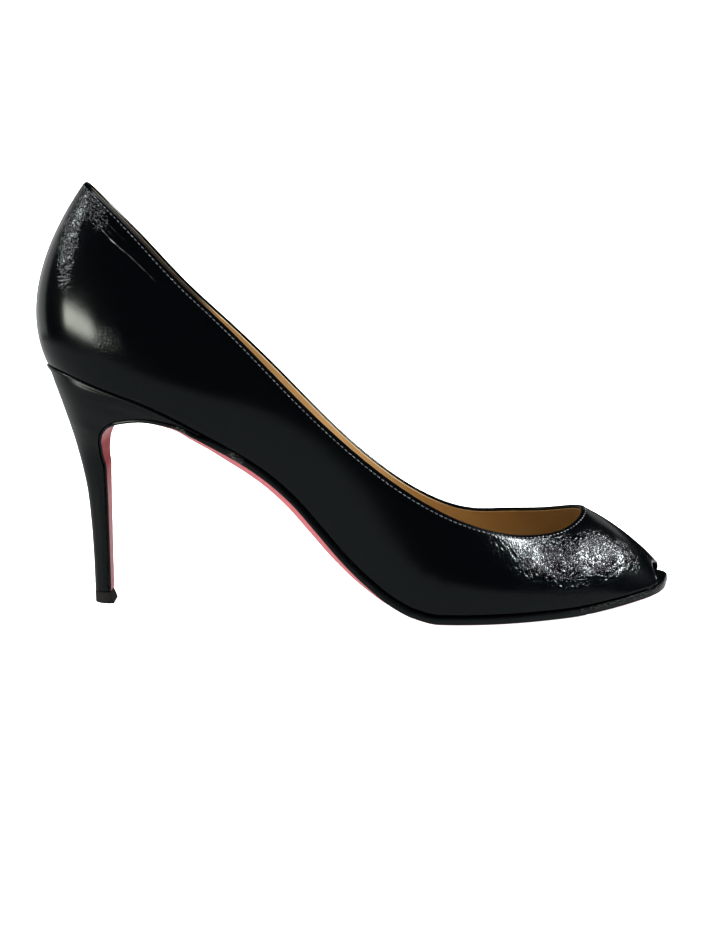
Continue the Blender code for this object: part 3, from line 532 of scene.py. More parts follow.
def evened(ring):
    """The toe as one smooth dome: each row is evened out along itself, twice over to keep its size."""
    moved = np.empty_like(ring)
    for row in range(ring.shape[1]):
        line = ring[:, row]
        step = np.linalg.norm(np.roll(line, -1, axis=0) - line, axis=1)
        place = np.concatenate([[0.0], np.cumsum(step)[:-1]])
        apart = np.abs(place[:, None] - place[None, :])
        apart = np.minimum(apart, step.sum() - apart)
        weight = np.exp(-0.5 * (apart / EVEN_REACH) ** 2) * (step + np.roll(step, 1))
        weight /= weight.sum(axis=1, keepdims=True)
        once = weight @ line
        moved[:, row] = once + weight @ (line - once) - line
    top = np.linalg.norm(ring - ring[:, :1], axis=-1)
    foot = np.linalg.norm(ring - ring[:, -1:], axis=-1)
    start, end = along_to_x(EVEN_FROM)
    share = fade(ring[..., 0], start, end) * fade(foot, 0.0, EVEN_FOOT) * fade(top, 0.0, EVEN_TOP)
    return moved * share[..., None]


def rib_rows(control, band_step, lower_rows):
    """Points of the upper's outer face at rows below its top: places, distance below, and way up."""
    t = np.linspace(0.0, 1.0, RIB_SAMPLES)[:, None]
    weights = np.hstack([(1 - t) ** 3, 3 * t * (1 - t) ** 2, 3 * t * t * (1 - t), t**3])
    curve = np.einsum("sk,rkc->rsc", weights, control)[:, ::-1]
    few = np.linspace(0, RIB_SAMPLES - 1, EVEN_ROWS).astype(int)
    moved = evened(curve[:, few])
    at = np.arange(RIB_SAMPLES)
    k = np.clip(np.searchsorted(few, at) - 1, 0, EVEN_ROWS - 2)
    way = ((at - few[k]) / (few[k + 1] - few[k]))[None, :, None]
    curve = curve + moved[:, k] * (1 - way) + moved[:, k + 1] * way
    band = np.arange(FOLD, UPPER_BAND, band_step)
    share = np.linspace(0.0, 1.0, lower_rows + 1)[1:]
    points, below = [], []
    for rib in curve:
        length = length_to(rib)
        rows = np.concatenate([band, band[-1] + (length[-1] - FOLD - band[-1]) * share])
        points.append(np.stack([np.interp(rows, length, rib[:, a]) for a in range(3)], axis=-1))
        below.append(rows)
    points, below = np.array(points), np.array(below)
    way_up = unit(-np.gradient(points, axis=1))
    return points, below, way_up


def way_out(points, start_in):
    """The direction out of the leather at each point; near the foot it turns to the way given."""
    around = np.roll(points, -1, axis=0) - np.roll(points, 1, axis=0)
    square = unit(np.cross(around, np.gradient(points, axis=1)))
    if np.sum(square * (points - points.reshape(-1, 3).mean(axis=0))) < 0:
        square = -square
    height = np.linalg.norm(points - points[:, -1:], axis=-1)
    foot = np.clip(1 - height / LEVEL_BELOW, 0.0, 1.0)[..., None]
    return unit(square * (1 - foot) + start_in[:, None] * foot)


upper_points, upper_below, upper_way_up = rib_rows(rib_control, UPPER_STEP, LOWER_ROWS)
upper_out = way_out(upper_points, rib_in)
lowest = round(1000 * upper_below.max(), 1)
print("rows on the upper:", upper_points.shape[1], "lowest", lowest, "mm below the edge")

# %% [markdown]
# ## Creases of wear
# The leather has creased where the foot bends it: two long lines under the edge at the back, short ones up
# the back of the heel, and many on the vamp. Each is placed in millimetres along the topline and below it,
# and pressed into the grid as a soft trough with low shoulders. Places where the finest wrinkles
# crowd are marked with a number on the points, and the leather's material draws those.

# %% Press in the creases
CREASES = (
    # depth, half width, then its points: along the topline (minus is the outer side) and below it
    (0.21, 0.46, ((-15.7, 8.3), (-19.2, 8.6), (-23.8, 8.0), (-28.5, 8.3), (-32.5, 8.0), (-36.7, 7.4),
                  (-41.1, 7.1), (-45.6, 6.8), (-50.4, 6.8), (-54.2, 7.4))),
    (0.15, 0.40, ((-17.0, 7.5), (-21.0, 7.3), (-25.0, 6.8), (-30.0, 6.9))),
    (0.14, 0.42, ((-18.3, 7.1), (-22.8, 5.0), (-27.6, 5.0), (-31.5, 5.0), (-34.6, 5.0), (-37.8, 6.2))),
    (0.15, 0.50, ((-15.5, 4.4), (-20.1, 3.3), (-22.8, 3.5))),
    (0.14, 0.50, ((-12.5, 3.4), (-16.3, 2.7), (-20.1, 2.6))),
    (0.15, 0.50, ((-16.2, 5.8), (-20.9, 4.4), (-23.8, 4.5))),
    (0.07, 0.60, ((-45.6, 3.2), (-45.6, 5.0), (-45.6, 6.8))),
    (0.09, 0.70, ((-15.7, 27.3), (-17.4, 25.4), (-19.2, 22.8))),
    (0.09, 0.70, ((-13.1, 25.2), (-15.7, 23.2), (-16.6, 20.7))),
    (0.10, 0.70, ((-12.3, 22.0), (-14.0, 20.2), (-15.7, 17.6))),
    (0.10, 0.70, ((-10.6, 19.6), (-12.3, 17.0), (-14.8, 14.4))),
    (0.10, 0.70, ((-9.8, 17.1), (-11.4, 14.5), (-13.1, 12.0))),
    (0.10, 0.70, ((-8.9, 13.8), (-10.6, 12.0), (-11.4, 8.9))),
    (0.10, 0.70, ((-8.1, 10.4), (-9.8, 8.3), (-11.4, 5.9))),
    (0.09, 0.70, ((-7.3, 7.7), (-9.8, 5.6), (-11.4, 4.2))),
    (0.08, 0.55, ((-185.1, 3.6), (-186.1, 5.3), (-187.1, 7.1))),
    (0.08, 0.55, ((-190.2, 6.2), (-190.2, 8.6), (-191.2, 10.7))),
    (0.10, 0.50, ((-191.2, 6.8), (-192.2, 9.5), (-195.1, 12.7))),
    (0.08, 0.55, ((-189.2, 7.7), (-191.2, 12.5), (-193.2, 14.8))),
    (0.09, 0.55, ((-193.2, 6.5), (-196.1, 9.2), (-198.0, 12.9))),
    (0.09, 0.55, ((-197.1, 4.4), (-199.0, 7.7), (-200.9, 11.2), (-202.7, 12.8))),
    (0.12, 0.70, ((-202.7, 12.8), (-204.5, 16.1), (-207.9, 18.4), (-211.2, 19.6))),
    (0.08, 0.60, ((-199.0, 12.9), (-199.9, 15.4), (-203.6, 18.0))),
    (0.09, 0.55, ((-227.1, 4.0), (-228.1, 8.9), (-228.1, 12.2))),
    (0.10, 0.70, ((-210.4, 18.2), (-213.6, 20.0), (-219.5, 21.6))),
    (0.05, 0.60, ((-225.6, 21.1), (-229.5, 22.9), (-234.0, 24.4), (-237.0, 26.1))),
    (0.08, 0.55, ((-235.5, 18.7), (-234.8, 22.7), (-232.9, 23.9))),
    (0.08, 0.55, ((-225.0, 19.4), (-228.6, 20.5), (-232.1, 20.5))),
    (0.08, 0.55, ((-208.7, 3.6), (-209.6, 6.8), (-212.0, 10.3))),
    (0.09, 0.60, ((-213.6, 4.1), (-213.6, 8.3), (-216.6, 12.1))),
    (0.26, 2.60, ((-225.0, 8.9), (-223.9, 13.9), (-220.8, 18.5))),
    (0.18, 2.20, ((-207.9, 4.4), (-208.7, 10.1), (-212.8, 15.2))),
    (0.18, 2.20, ((-232.1, 15.6), (-231.6, 20.4), (-228.1, 22.5))),
)
VAMP_FROM = 180.0  # creases past this place are on the vamp, and the inner side has its own like them
WRINKLED = (
    # along, below, reach, strength
    (-203.0, 11.5, 12.0, 0.60), (-216.0, 12.0, 17.0, 1.00), (-228.0, 15.0, 14.0, 1.00),
    (-236.0, 22.0, 10.0, 0.80), (-193.0, 5.0, 9.0, 0.35), (-182.0, 5.0, 8.0, 0.25),
    (-9.0, 8.0, 6.0, 1.10), (-11.5, 14.0, 6.0, 1.20), (-13.5, 20.0, 6.0, 1.10),
    (-16.0, 25.0, 5.0, 0.80), (-18.5, 29.5, 5.0, 0.40), (-16.0, 4.0, 8.0, 1.10),
    (-8.0, 3.0, 7.0, 1.10), (-22.0, 6.0, 5.0, 0.70), (-41.0, 33.5, 7.0, 0.26),
)
STITCH_BELOW = 0.0014
ROLLED, ROLL_REACH = 0.00018, 0.0013  # how far the folded edge leans in, and over what height
CREASE_STEP = 0.0003
CREASE_ENDS = (-0.02, 0.22)  # shares of a crease's length over which it fades out
CREASE_WAVER, WAVER_STEP = 0.2, 0.0007  # a crease is deeper and shallower by turns
SHOULDER, SHOULDER_AT = 0.35, 1.8
INNER_SHALLOWER = 1.2


def place_on_upper(along, below):
    """The point on the upper at a place given in millimetres."""
    half = RIBS_PER_SIDE
    marks, ranks = rib_from[: half], np.arange(half, dtype=float)
    if along > 0:
        marks, ranks = rib_from[half:], np.arange(half, len(rib_from), dtype=float)
    order = np.argsort(marks)
    at = np.interp(along / 1000, marks[order], ranks[order])
    first = int(at)
    second = min(first + 1, len(rib_from) - 1)
    found = []
    for rib in (first, second):
        found.append([np.interp(below / 1000, upper_below[rib], upper_points[rib, :, a]) for a in range(3)])
    return np.array(found[0]) * (1 - at + first) + np.array(found[1]) * (at - first)


def press(points, out, marks, depth, width):
    """One crease: a trough along the line through the marks, fading out at both ends."""
    line = np.array([place_on_upper(*mark) for mark in marks])
    length = length_to(line)
    line = resampled(line, np.linspace(0.0, length[-1], max(8, int(length[-1] / CREASE_STEP))))
    flat = points.reshape(-1, 3)
    reach = 4 * width
    near = np.all((flat > line.min(axis=0) - reach) & (flat < line.max(axis=0) + reach), axis=1)
    apart = np.linalg.norm(flat[near][:, None] - line[None], axis=-1)
    nearest = apart.argmin(axis=1)
    apart = apart.min(axis=1) / width
    along = nearest / (len(line) - 1)
    ends = fade(np.minimum(along, 1 - along), *CREASE_ENDS)
    ends = ends * (1 - CREASE_WAVER + CREASE_WAVER * np.cos(along * length[-1] / WAVER_STEP))
    shape = np.exp(-(apart**2)) - SHOULDER * np.exp(-((apart - SHOULDER_AT) ** 2))
    moved = flat.copy()
    moved[near] -= out.reshape(-1, 3)[near] * (depth * shape * ends)[:, None]
    return moved.reshape(points.shape)


def on_inner_side(along, below):
    """The place on the inner side that creases together with one on the outer side."""
    return -along * 1.01 - 1.5, below * 0.95 + 0.6


def creased(points, out):
    """The leather with every crease pressed in and its folded edge leaning in."""
    for depth, width, marks in CREASES:
        points = press(points, out, marks, depth / 1000, width / 1000)
        if marks[0][0] < -VAMP_FROM:
            other = [on_inner_side(*mark) for mark in marks]
            points = press(points, out, other, depth / (1000 * INNER_SHALLOWER), width / 1000)
    return points - out * rolled(upper_below)[..., None]


def rolled(below):
    """How far the leather leans in at a distance below its edge."""
    return ROLLED * np.clip(1 - (below - FOLD) / ROLL_REACH, 0.0, 1.0) ** 2


def wrinkled(points):
    """How strongly the finest wrinkles stand at each point; 1 is the usual strength."""
    mask = np.zeros(points.shape[:2])
    for along, below, reach, strength in WRINKLED:
        signs = (1, -1) if along < -VAMP_FROM else (1,)
        for sign in signs:
            centre = place_on_upper(along * sign, below)
            apart = np.linalg.norm(points - centre, axis=-1)
            mask = np.maximum(mask, strength * (1 - fade(apart, 0.25 * reach / 1000, reach / 1000)))
    return mask * fade(upper_below, STITCH_BELOW - 0.0002, STITCH_BELOW + 0.0004)


worn_points = creased(upper_points, upper_out)
worn_mask = wrinkled(upper_points)
print("creases:", len(CREASES), "deepest", round(1000 * np.abs(worn_points - upper_points).max(), 2), "mm")

# %% [markdown]
# ## The leather upper
# The real upper is about a millimetre and a half thick with its lining. Its top edge and the edge of the peep
# toe are folded over, so they are round, not cut. The skin therefore runs up the outside, round the fold,
# a little way down the inside, and then under the lining to the foot, where it turns under again.

# %% Make the leather upper
TURNED_IN, THINNING = 0.0013, 0.0006  # whole this far down the inside, then thin over the second length
LOW_FOLD = 0.0010  # the peep edge is turned in this much further
HIDDEN = WALL * 0.62
ARC = np.linspace(0.0, math.pi, 9)[1:-1]


def half_round(points, out, up):
    """The round edge of the leather, from its outer face to its inner one."""
    centre = points - out * FOLD
    turn = ARC[None, :, None]
    return centre[:, None] + FOLD * (np.cos(turn) * out[:, None] + np.sin(turn) * up[:, None])


def inner_rows(points, below, out, rows, depth, offset):
    """Points under the outer face at distances below the top, at an offset given for each row."""
    length = below[:, -1:]
    placed = []
    for i in range(len(points)):
        at = rows * (length[i, 0] - FOLD) + FOLD
        place = np.stack([np.interp(at, below[i], points[i, :, a]) for a in range(3)], axis=-1)
        way = unit(np.stack([np.interp(at, below[i], out[i, :, a]) for a in range(3)], axis=-1))
        from_ends = np.minimum(at - FOLD, length[i, 0] - at - LOW_FOLD)
        placed.append(place - way * offset(from_ends, depth)[:, None])
    return np.array(placed)


def leather_inside(from_ends, depth):
    """The turned-in leather is whole near its edges and thin where the lining covers it."""
    return WALL - (WALL - depth) * np.clip((from_ends - TURNED_IN) / THINNING, 0.0, 1.0)


def make_leather_upper(points, worn, mask, below, up, out):
    top = half_round(points[:, 0], out[:, 0], up[:, 0])
    leaning = ROLLED * np.clip(np.cos(ARC), 0.0, 1.0)
    top = top - out[:, :1] * leaning[None, :, None]
    foot = half_round(points[:, -1], out[:, -1], -up[:, -1])[:, ::-1]
    spans = ((0.0, 0.12), (0.16, 0.84), (0.88, 1.0))
    rows = np.concatenate([np.linspace(start, end, 14) for start, end in spans])
    inside = inner_rows(points, below, out, rows, HIDDEN, leather_inside)
    skin = np.concatenate([worn[:, ::-1], top, inside, foot], axis=1)
    count, many = skin.shape[:2]
    wrinkles = np.zeros((count, many))
    wrinkles[:, : points.shape[1]] = mask[:, ::-1]
    faces = faces_of_grid(count, many, True, True)
    return make_piece("leather_upper", skin, faces, numbers={"wrinkled": wrinkles})


leather_upper = make_leather_upper(
    upper_points, worn_points, worn_mask, upper_below, upper_way_up, upper_out
)
print("leather upper:", len(leather_upper.data.polygons), "faces")

# %% [markdown]
# ## The lining
# Inside lies a thin tan lining. It is glued in before the edge is folded, so it stops just below the fold and
# shows a pale raw edge there. It is a second skin just inside the leather.

# %% Make the lining
LINING_STOPS, LINING_STOPS_LOW = 0.0001, 0.0016
LINING_RISE = 0.00012  # it lies this far inside the leather, and its edge rounds over the same width
LINING_LIES = WALL + LINING_RISE
LINING_BAND = 0.0035  # the finer rows along both of its edges
HIDDEN_EDGE, HIDDEN_REACH = 0.0002, 0.0012  # how its back sinks away from the edge
RAW_EDGE = 0.0004
GRIP_DARK_TO, GRIP_ENDS = 0.060, 0.074  # the dark heel grip, each side of the back
# how strongly the lining is darkened with painted shade deep in the toe
TOE_PAINTED_SHADE = 0.45


def make_lining(points, below, out):
    count = len(points)
    edge = np.array([0.0, 0.03, 0.12, 0.25, 0.45, 0.8, 1.3, 2.0, 3.0]) / 1000
    length = below[:, -1]
    face, hidden, near = [], [], []
    for i in range(count):
        first, last = FOLD + LINING_STOPS, length[i] - LINING_STOPS_LOW
        middle = np.linspace(first + LINING_BAND, last - LINING_BAND, 56)
        at = np.concatenate([first + edge, middle, last - edge[::-1]])
        place = np.stack([np.interp(at, below[i], points[i, :, a]) for a in range(3)], axis=-1)
        way = unit(np.stack([np.interp(at, below[i], out[i, :, a]) for a in range(3)], axis=-1))
        from_edge = np.minimum(at - first, last - at)
        lies = WALL + (LINING_LIES - WALL) * np.clip(from_edge / LINING_RISE, 0.0, 1.0) ** 0.5
        sunk = np.clip(from_edge / HIDDEN_REACH, 0.0, 1.0)
        face.append(place - way * lies[:, None])
        back = WALL - HIDDEN_EDGE - (WALL - 2 * HIDDEN_EDGE - HIDDEN) * sunk
        hidden.append(place - way * back[:, None])
        near.append(from_edge)
    face, hidden, near = np.array(face), np.array(hidden), np.array(near)
    skin = np.concatenate([face, hidden[:, ::-1]], axis=1)
    raw = np.clip(1 - near / RAW_EDGE, 0.0, 1.0)
    raw = np.concatenate([raw, raw[:, ::-1]], axis=1)
    around = np.abs(rib_from)
    # the heel grip at the back is the lining's own blackish colour; deep in the toe the darkening is painted
    # shade
    dark_and_painted_shade = np.maximum(1 - fade(around, GRIP_DARK_TO, GRIP_ENDS), TOE_PAINTED_SHADE * fade(around, 0.195, 0.245))
    dark_and_painted_shade = dark_and_painted_shade[:, None] + 0 * raw
    faces = faces_of_grid(count, skin.shape[1], True, True)
    return make_piece("lining", skin, faces, numbers={"raw_edge": raw, "dark_and_painted_shade": dark_and_painted_shade})


lining = make_lining(upper_points, upper_below, upper_out)
print("lining:", len(lining.data.polygons), "faces")

# %% [markdown]
# ## The stitches
# A fine row of black thread holds the folded edge, about a millimetre and a half below it. Stitches repeat,
# so Geometry Nodes place them: a line is laid on the leather, cut at the stitch pitch, and a small stitch in
# the shape of a grain is turned along the line and half sunk into the leather at every cut.

# %% Sew the topline
STITCH = {"Pitch": 0.00175, "Length": 0.00120, "Width": 0.00042, "Height": 0.00044}
STITCH_SEGMENTS, STITCH_RINGS = 8, 6


def stitch_tree():
    """Stitches along a line of points that carries the way out of the leather as 'facing'."""
    tree = bpy.data.node_groups.new("stitch_row", "GeometryNodeTree")
    face = tree.interface
    face.new_socket("Geometry", in_out="INPUT", socket_type="NodeSocketGeometry")
    for title in STITCH:
        face.new_socket(title, in_out="INPUT", socket_type="NodeSocketFloat")
    face.new_socket("Thread", in_out="INPUT", socket_type="NodeSocketMaterial")
    face.new_socket("Geometry", in_out="OUTPUT", socket_type="NodeSocketGeometry")
    add, link = tree.nodes.new, tree.links.new
    given, done = add("NodeGroupInput"), add("NodeGroupOutput")
    curve, cut = add("GeometryNodeMeshToCurve"), add("GeometryNodeResampleCurve")
    cut.mode = "LENGTH"
    link(given.outputs["Geometry"], curve.inputs["Mesh"])
    link(curve.outputs["Curve"], cut.inputs["Curve"])
    link(given.outputs["Pitch"], cut.inputs["Length"])
    tangent, facing = add("GeometryNodeInputTangent"), add("GeometryNodeInputNamedAttribute")
    facing.data_type = "FLOAT_VECTOR"
    facing.inputs["Name"].default_value = "facing"
    lengthwise, standing = add("FunctionNodeAlignRotationToVector"), add("FunctionNodeAlignRotationToVector")
    lengthwise.axis, standing.axis, standing.pivot_axis = "X", "Z", "X"
    link(tangent.outputs["Tangent"], lengthwise.inputs["Vector"])
    link(lengthwise.outputs["Rotation"], standing.inputs["Rotation"])
    link(facing.outputs["Attribute"], standing.inputs["Vector"])
    grain, size = add("GeometryNodeMeshUVSphere"), add("ShaderNodeCombineXYZ")
    grain.inputs["Segments"].default_value = STITCH_SEGMENTS
    grain.inputs["Rings"].default_value = STITCH_RINGS
    grain.inputs["Radius"].default_value = 0.5
    for axis, title in (("X", "Length"), ("Y", "Width"), ("Z", "Height")):
        link(given.outputs[title], size.inputs[axis])
    sewn = add("GeometryNodeInstanceOnPoints")
    link(cut.outputs["Curve"], sewn.inputs["Points"])
    link(grain.outputs["Mesh"], sewn.inputs["Instance"])
    link(standing.outputs["Rotation"], sewn.inputs["Rotation"])
    link(size.outputs["Vector"], sewn.inputs["Scale"])
    real, smooth = add("GeometryNodeRealizeInstances"), add("GeometryNodeSetShadeSmooth")
    dressed = add("GeometryNodeSetMaterial")
    link(sewn.outputs["Instances"], real.inputs["Geometry"])
    link(real.outputs["Geometry"], smooth.inputs["Geometry"])
    link(smooth.outputs["Geometry"], dressed.inputs["Geometry"])
    link(given.outputs["Thread"], dressed.inputs["Material"])
    link(dressed.outputs["Geometry"], done.inputs["Geometry"])
    return tree


def grown_from(piece, tree, inputs):
    """Runs a node tree on a piece and keeps the result as its plain mesh."""
    modifier = piece.modifiers.new(tree.name, "NODES")
    modifier.node_group = tree
    for socket in tree.interface.items_tree:
        if socket.in_out == "INPUT" and socket.name in inputs:
            modifier[socket.identifier] = inputs[socket.name]
    seen = piece.evaluated_get(bpy.context.evaluated_depsgraph_get())
    mesh = bpy.data.meshes.new_from_object(seen)
    piece.modifiers.clear()
    piece.data = mesh
    return piece


def line_on_upper(name, below):
    """A closed line on the leather, that far below the edge, with the way out of it at every point."""
    count = len(upper_points)
    row = int(round((below - FOLD) / UPPER_STEP))
    mesh = bpy.data.meshes.new(name)
    edges = [(i, (i + 1) % count) for i in range(count)]
    mesh.from_pydata(worn_points[:, row].tolist(), edges, [])
    layer = mesh.attributes.new("facing", "FLOAT_VECTOR", "POINT")
    layer.data.foreach_set("vector", np.ascontiguousarray(upper_out[:, row].ravel(), np.float32))
    piece = bpy.data.objects.new(name, mesh)
    bpy.context.scene.collection.objects.link(piece)
    return piece


thread = bpy.data.materials.new("black_thread")
stitches = grown_from(line_on_upper("stitches", STITCH_BELOW), stitch_tree(), {**STITCH, "Thread": thread})
print("stitches:", len(stitches.data.polygons) // (STITCH_SEGMENTS * STITCH_RINGS))

# %% [markdown]
# ## The sock
# The insole board is covered by a sock of the same tan leather as the lining. Seen through the collar and
# the peep toe it has a softly rounded rim. It keeps the CAD insole's form with a finer skin.

# %% Make the sock
INSOLE_THICKNESS, INSOLE_CUP, INSOLE_TOE, INSOLE_CLEAR = 0.0025, 0.0012, 0.850, 2.0
SOCK_STATIONS, SOCK_COLUMNS = 130, 26
SOCK_ENDS = 5e-5  # how far its first and last sections stay inside the outline
SOCK_RIM, RIM_DROP = 0.0007, 0.0005  # how wide the round of its rim is, and how deep


def make_sock():
    share = x_to_along(outline[:, 0])
    over = np.radians(np.maximum(-monotone(column(WALL_FORM, 0), column(WALL_FORM, 1), share), 0.0))
    inset = (WALL + GAP) / np.cos(over) + INSOLE_CLEAR * INSOLE_THICKNESS * np.tan(over)
    rim = grown(outline, -inset)
    outer_side, inner_side = sides(rim)
    turn = np.linspace(0.0, math.pi, SOCK_STATIONS + 1)
    first, last = rim[:, 0].min() + SOCK_ENDS, rim[:, 0].max() - SOCK_ENDS
    x = first + (last - first) * (1 - np.cos(turn)) / 2
    square = bottom_square(x)
    low, high = side_at(outer_side, x), side_at(inner_side, x)
    cup = INSOLE_CUP * np.clip(1 - (x - x[0]) / (along_to_x(INSOLE_TOE) - x[0]), 0.0, 1.0)
    across = (1 - np.cos(np.linspace(0.0, math.pi, SOCK_COLUMNS + 1))) / 2
    y = low[:, None] + (high - low)[:, None] * across
    thick = INSOLE_THICKNESS + cup[:, None] * (2 * across - 1) ** 2
    width = np.maximum(high - low, 1e-4)[:, None]
    rim_way = np.clip(np.minimum(across, 1 - across) * width / SOCK_RIM, 0.0, 1.0)
    thick = thick - RIM_DROP * (1 - np.sqrt(1 - (1 - rim_way) ** 2))
    base = bottom_height(x)[:, None]
    x = x[:, None] + 0 * y
    under = np.stack([x, y, base + 0 * y], axis=-1)
    above = np.stack([x + square[:, :1] * thick, y, base + square[:, 1:] * thick], axis=-1)
    skin = np.concatenate([under, above[:, ::-1]], axis=1)
    # painted shade: the sock darkens over the round of its rim; its hidden underside is blackened throughout
    rim_painted_shade = 1 - fade(rim_way, 0.4, 0.9)
    dark_and_painted_shade = np.concatenate([np.ones_like(rim_way), rim_painted_shade[:, ::-1]], axis=1)
    return make_piece("sock", skin, tube_faces(*skin.shape[:2]), numbers={"dark_and_painted_shade": dark_and_painted_shade}, sharp=40)


sock = make_sock()
print("sock:", len(sock.data.polygons), "faces")

# %% [markdown]
# ## The covered heel
# A heel block is carved plastic with leather drawn over it. From above it is the seat's own outline, and
# lower down it narrows to a slim stem. The CAD gives sixteen sections; here they are drawn finer, with smooth
# curves between them, and the upper rim is rounded so that a dark groove shows where the shoe sits on it.

# %% Sections of the heel
HEEL_PITCH, STEM_WIDTH, TIP_WIDTH = 0.0189, 0.0112, 0.0098
LIP_LENGTH, LIP_ROOT, LIP_DEPTH, LIP_TIP = 0.0540, 0.0290, 0.0087, 0.0006
LIFT_HEIGHT, LIFT_FLARE = 0.0042, 0.0021
STEM_TOP, STEM_ROOT, STEM_THINNING = 0.575, 0.275, 5.0
BREAST_PULL, LIP_PULL, LIP_TAPER = (0.120, 0.134), 0.0068, 2.0
STEM_ROUND, SEAT_ROUND, SEAT_CROWDING, BLUNT = 0.86, 0.50, 1.15, 0.0005
SEAT_POINTS, STEM_SECTIONS, BREAST_STEPS = 49, 5, 60
HEEL_FLARE = (
    # rear, front, width, seat
    (0.965, 0.20, 0.970, 0.85), (0.925, 0.40, 0.900, 0.65), (0.880, 0.57, 0.790, 0.45),
    (0.835, 0.67, 0.680, 0.28), (0.790, 0.76, 0.560, 0.15), (0.745, 0.83, 0.455, 0.07),
    (0.695, 0.89, 0.375, 0.03), (0.635, 0.95, 0.312, 0.01),
)
HEEL_BACK = (
    # up, forward
    (0.000, 0.735), (0.175, 0.725), (0.344, 0.695), (0.512, 0.625), (0.596, 0.545), (0.679, 0.460),
    (0.762, 0.360), (0.824, 0.280), (0.886, 0.190), (0.946, 0.095), (1.000, 0.015),
)


def breast_path():
    """The heel's front, from under the end of its lip round to the top of its stem, as X and Z."""
    back = along_to_x(0.0)
    x = back + np.linspace(LIP_LENGTH, LIP_ROOT, BREAST_STEPS)
    way = (back + LIP_LENGTH - x) / (LIP_LENGTH - LIP_ROOT)
    depth = GAP + LIP_TIP + (LIP_DEPTH - LIP_TIP) * way**LIP_TAPER
    square = bottom_square(x)
    lip = np.column_stack([x - square[:, 0] * depth, bottom_height(x) - square[:, 1] * depth])
    stem = np.array([back + HEEL_PITCH, HEEL_HEIGHT * STEM_TOP])
    pull = stem + np.array([-BREAST_PULL[0] * HEEL_PITCH, BREAST_PULL[1] * HEEL_HEIGHT])
    hold = lip[-1] + unit(lip[-1] - lip[-2]) * LIP_PULL
    t = np.linspace(0.0, 1.0, BREAST_STEPS + 1)[1:, None]
    bend = (1 - t) ** 3 * lip[-1] + 3 * t * (1 - t) ** 2 * hold + 3 * t * t * (1 - t) * pull + t**3 * stem
    return np.vstack([lip, bend])


def heel_sections():
    """The heel as sections from its seat to its tip, and for each its front end and half widths there."""
    back = along_to_x(0.0)
    outer_side, inner_side = outline_sides
    curve = breast_path()
    share = (1 - np.cos(np.linspace(0.0, math.pi / 2, SEAT_POINTS))) ** SEAT_CROWDING
    seat_back = back + SHOE_LENGTH * BLUNT / 2
    seat_x = seat_back + (back + LIP_LENGTH - seat_back) * share
    square = bottom_square(seat_x)
    outer_y, inner_y = side_at(outer_side, seat_x), side_at(inner_side, seat_x)
    seat_half = (inner_y.max() - outer_y.min()) / 2

    def section(rear, front, widths, bow):
        x = rear[0] + (front[0] - rear[0]) * share
        z = rear[1] + (front[1] - rear[1]) * share + bow
        outer, inner = (np.column_stack([x, width, z]) for width in widths)
        return np.vstack([outer[::-1], inner])

    def rear_at(up):
        forward = monotone(column(HEEL_BACK, 0), column(HEEL_BACK, 1), up)
        return np.array([back + float(forward) * HEEL_PITCH, up * HEEL_HEIGHT])

    def rounded(full, turn):
        return full * np.sqrt(1 - (1 - np.minimum(share / turn, 1.0)) ** 2)

    rows, fronts = [], []
    for depth in (GAP, GAP + LIP_TIP):
        x = seat_x - square[:, 0] * depth
        z = bottom_height(seat_x) - square[:, 1] * depth
        outer, inner = (np.column_stack([x, width, z]) for width in (outer_y, inner_y))
        rows.append(np.vstack([outer[::-1], inner]))
        fronts.append((x[-1], z[-1], outer_y[-1], inner_y[-1]))
    seat_line = bottom_height(seat_x)
    seat_bow = seat_line - (seat_line[0] + (seat_line[-1] - seat_line[0]) * share)
    for rear, front, width, seat in HEEL_FLARE:
        round_y = rounded(seat_half * width, SEAT_ROUND * seat + STEM_ROUND * (1 - seat))
        widths = (
            width * outer_y * seat - round_y * (1 - seat),
            width * inner_y * seat + round_y * (1 - seat),
        )
        place = resampled(curve, np.array([front * length_to(curve)[-1]]))[0]
        rows.append(section(rear_at(rear), place, widths, seat_bow * seat))
        fronts.append((place[0], place[1], widths[0][-1], widths[1][-1]))
    low = LIFT_HEIGHT + GAP
    for step in np.linspace(0.0, 1.0, STEM_SECTIONS + 1):
        z = HEEL_HEIGHT * STEM_TOP * (1 - step) + low * step
        place = np.array([back + HEEL_PITCH, z])
        wider = (seat_half * STEM_ROOT - STEM_WIDTH / 2) * (1 - step) ** STEM_THINNING
        round_y = rounded((TIP_WIDTH * step + STEM_WIDTH * (1 - step)) / 2 + wider, STEM_ROUND)
        rows.append(section(rear_at(z / HEEL_HEIGHT), place, (-round_y, round_y), 0.0))
        fronts.append((place[0], place[1], -round_y[-1], round_y[-1]))
    return np.array(rows), np.array(fronts)


def finer(rows, parts):
    """Rows drawn closer together along smooth curves, so many parts to each gap."""
    flat = rows.reshape(len(rows), -1)
    step = np.linalg.norm(np.diff(rows, axis=0), axis=-1).reshape(len(rows) - 1, -1).mean(axis=1)
    knots = np.concatenate([[0.0], np.cumsum(step)])
    between = [knots[i] + step[i] * np.arange(parts) / parts for i in range(len(step))]
    at = np.concatenate(between + [knots[-1:]])
    smooth = np.stack([monotone(knots, flat[:, i], at) for i in range(flat.shape[1])], axis=-1)
    return smooth.reshape((len(at),) + rows.shape[1:])


def drawn_in(section, amount):
    """A closed section moved inwards in plan."""
    plan = grown(section[:, :2], -amount)
    return np.column_stack([plan, section[:, 2]])


heel_rows, heel_fronts = heel_sections()
print("heel sections:", heel_rows.shape[0], "of", heel_rows.shape[1], "points")

# %% Make the heel cover and the top lift
RIM = 0.0003
FOOT_IN, FOOT_UP = 0.00015, 0.00012  # the soft corner at the foot of the cover
COVER_PARTS, FLAP_PARTS = 7, 5


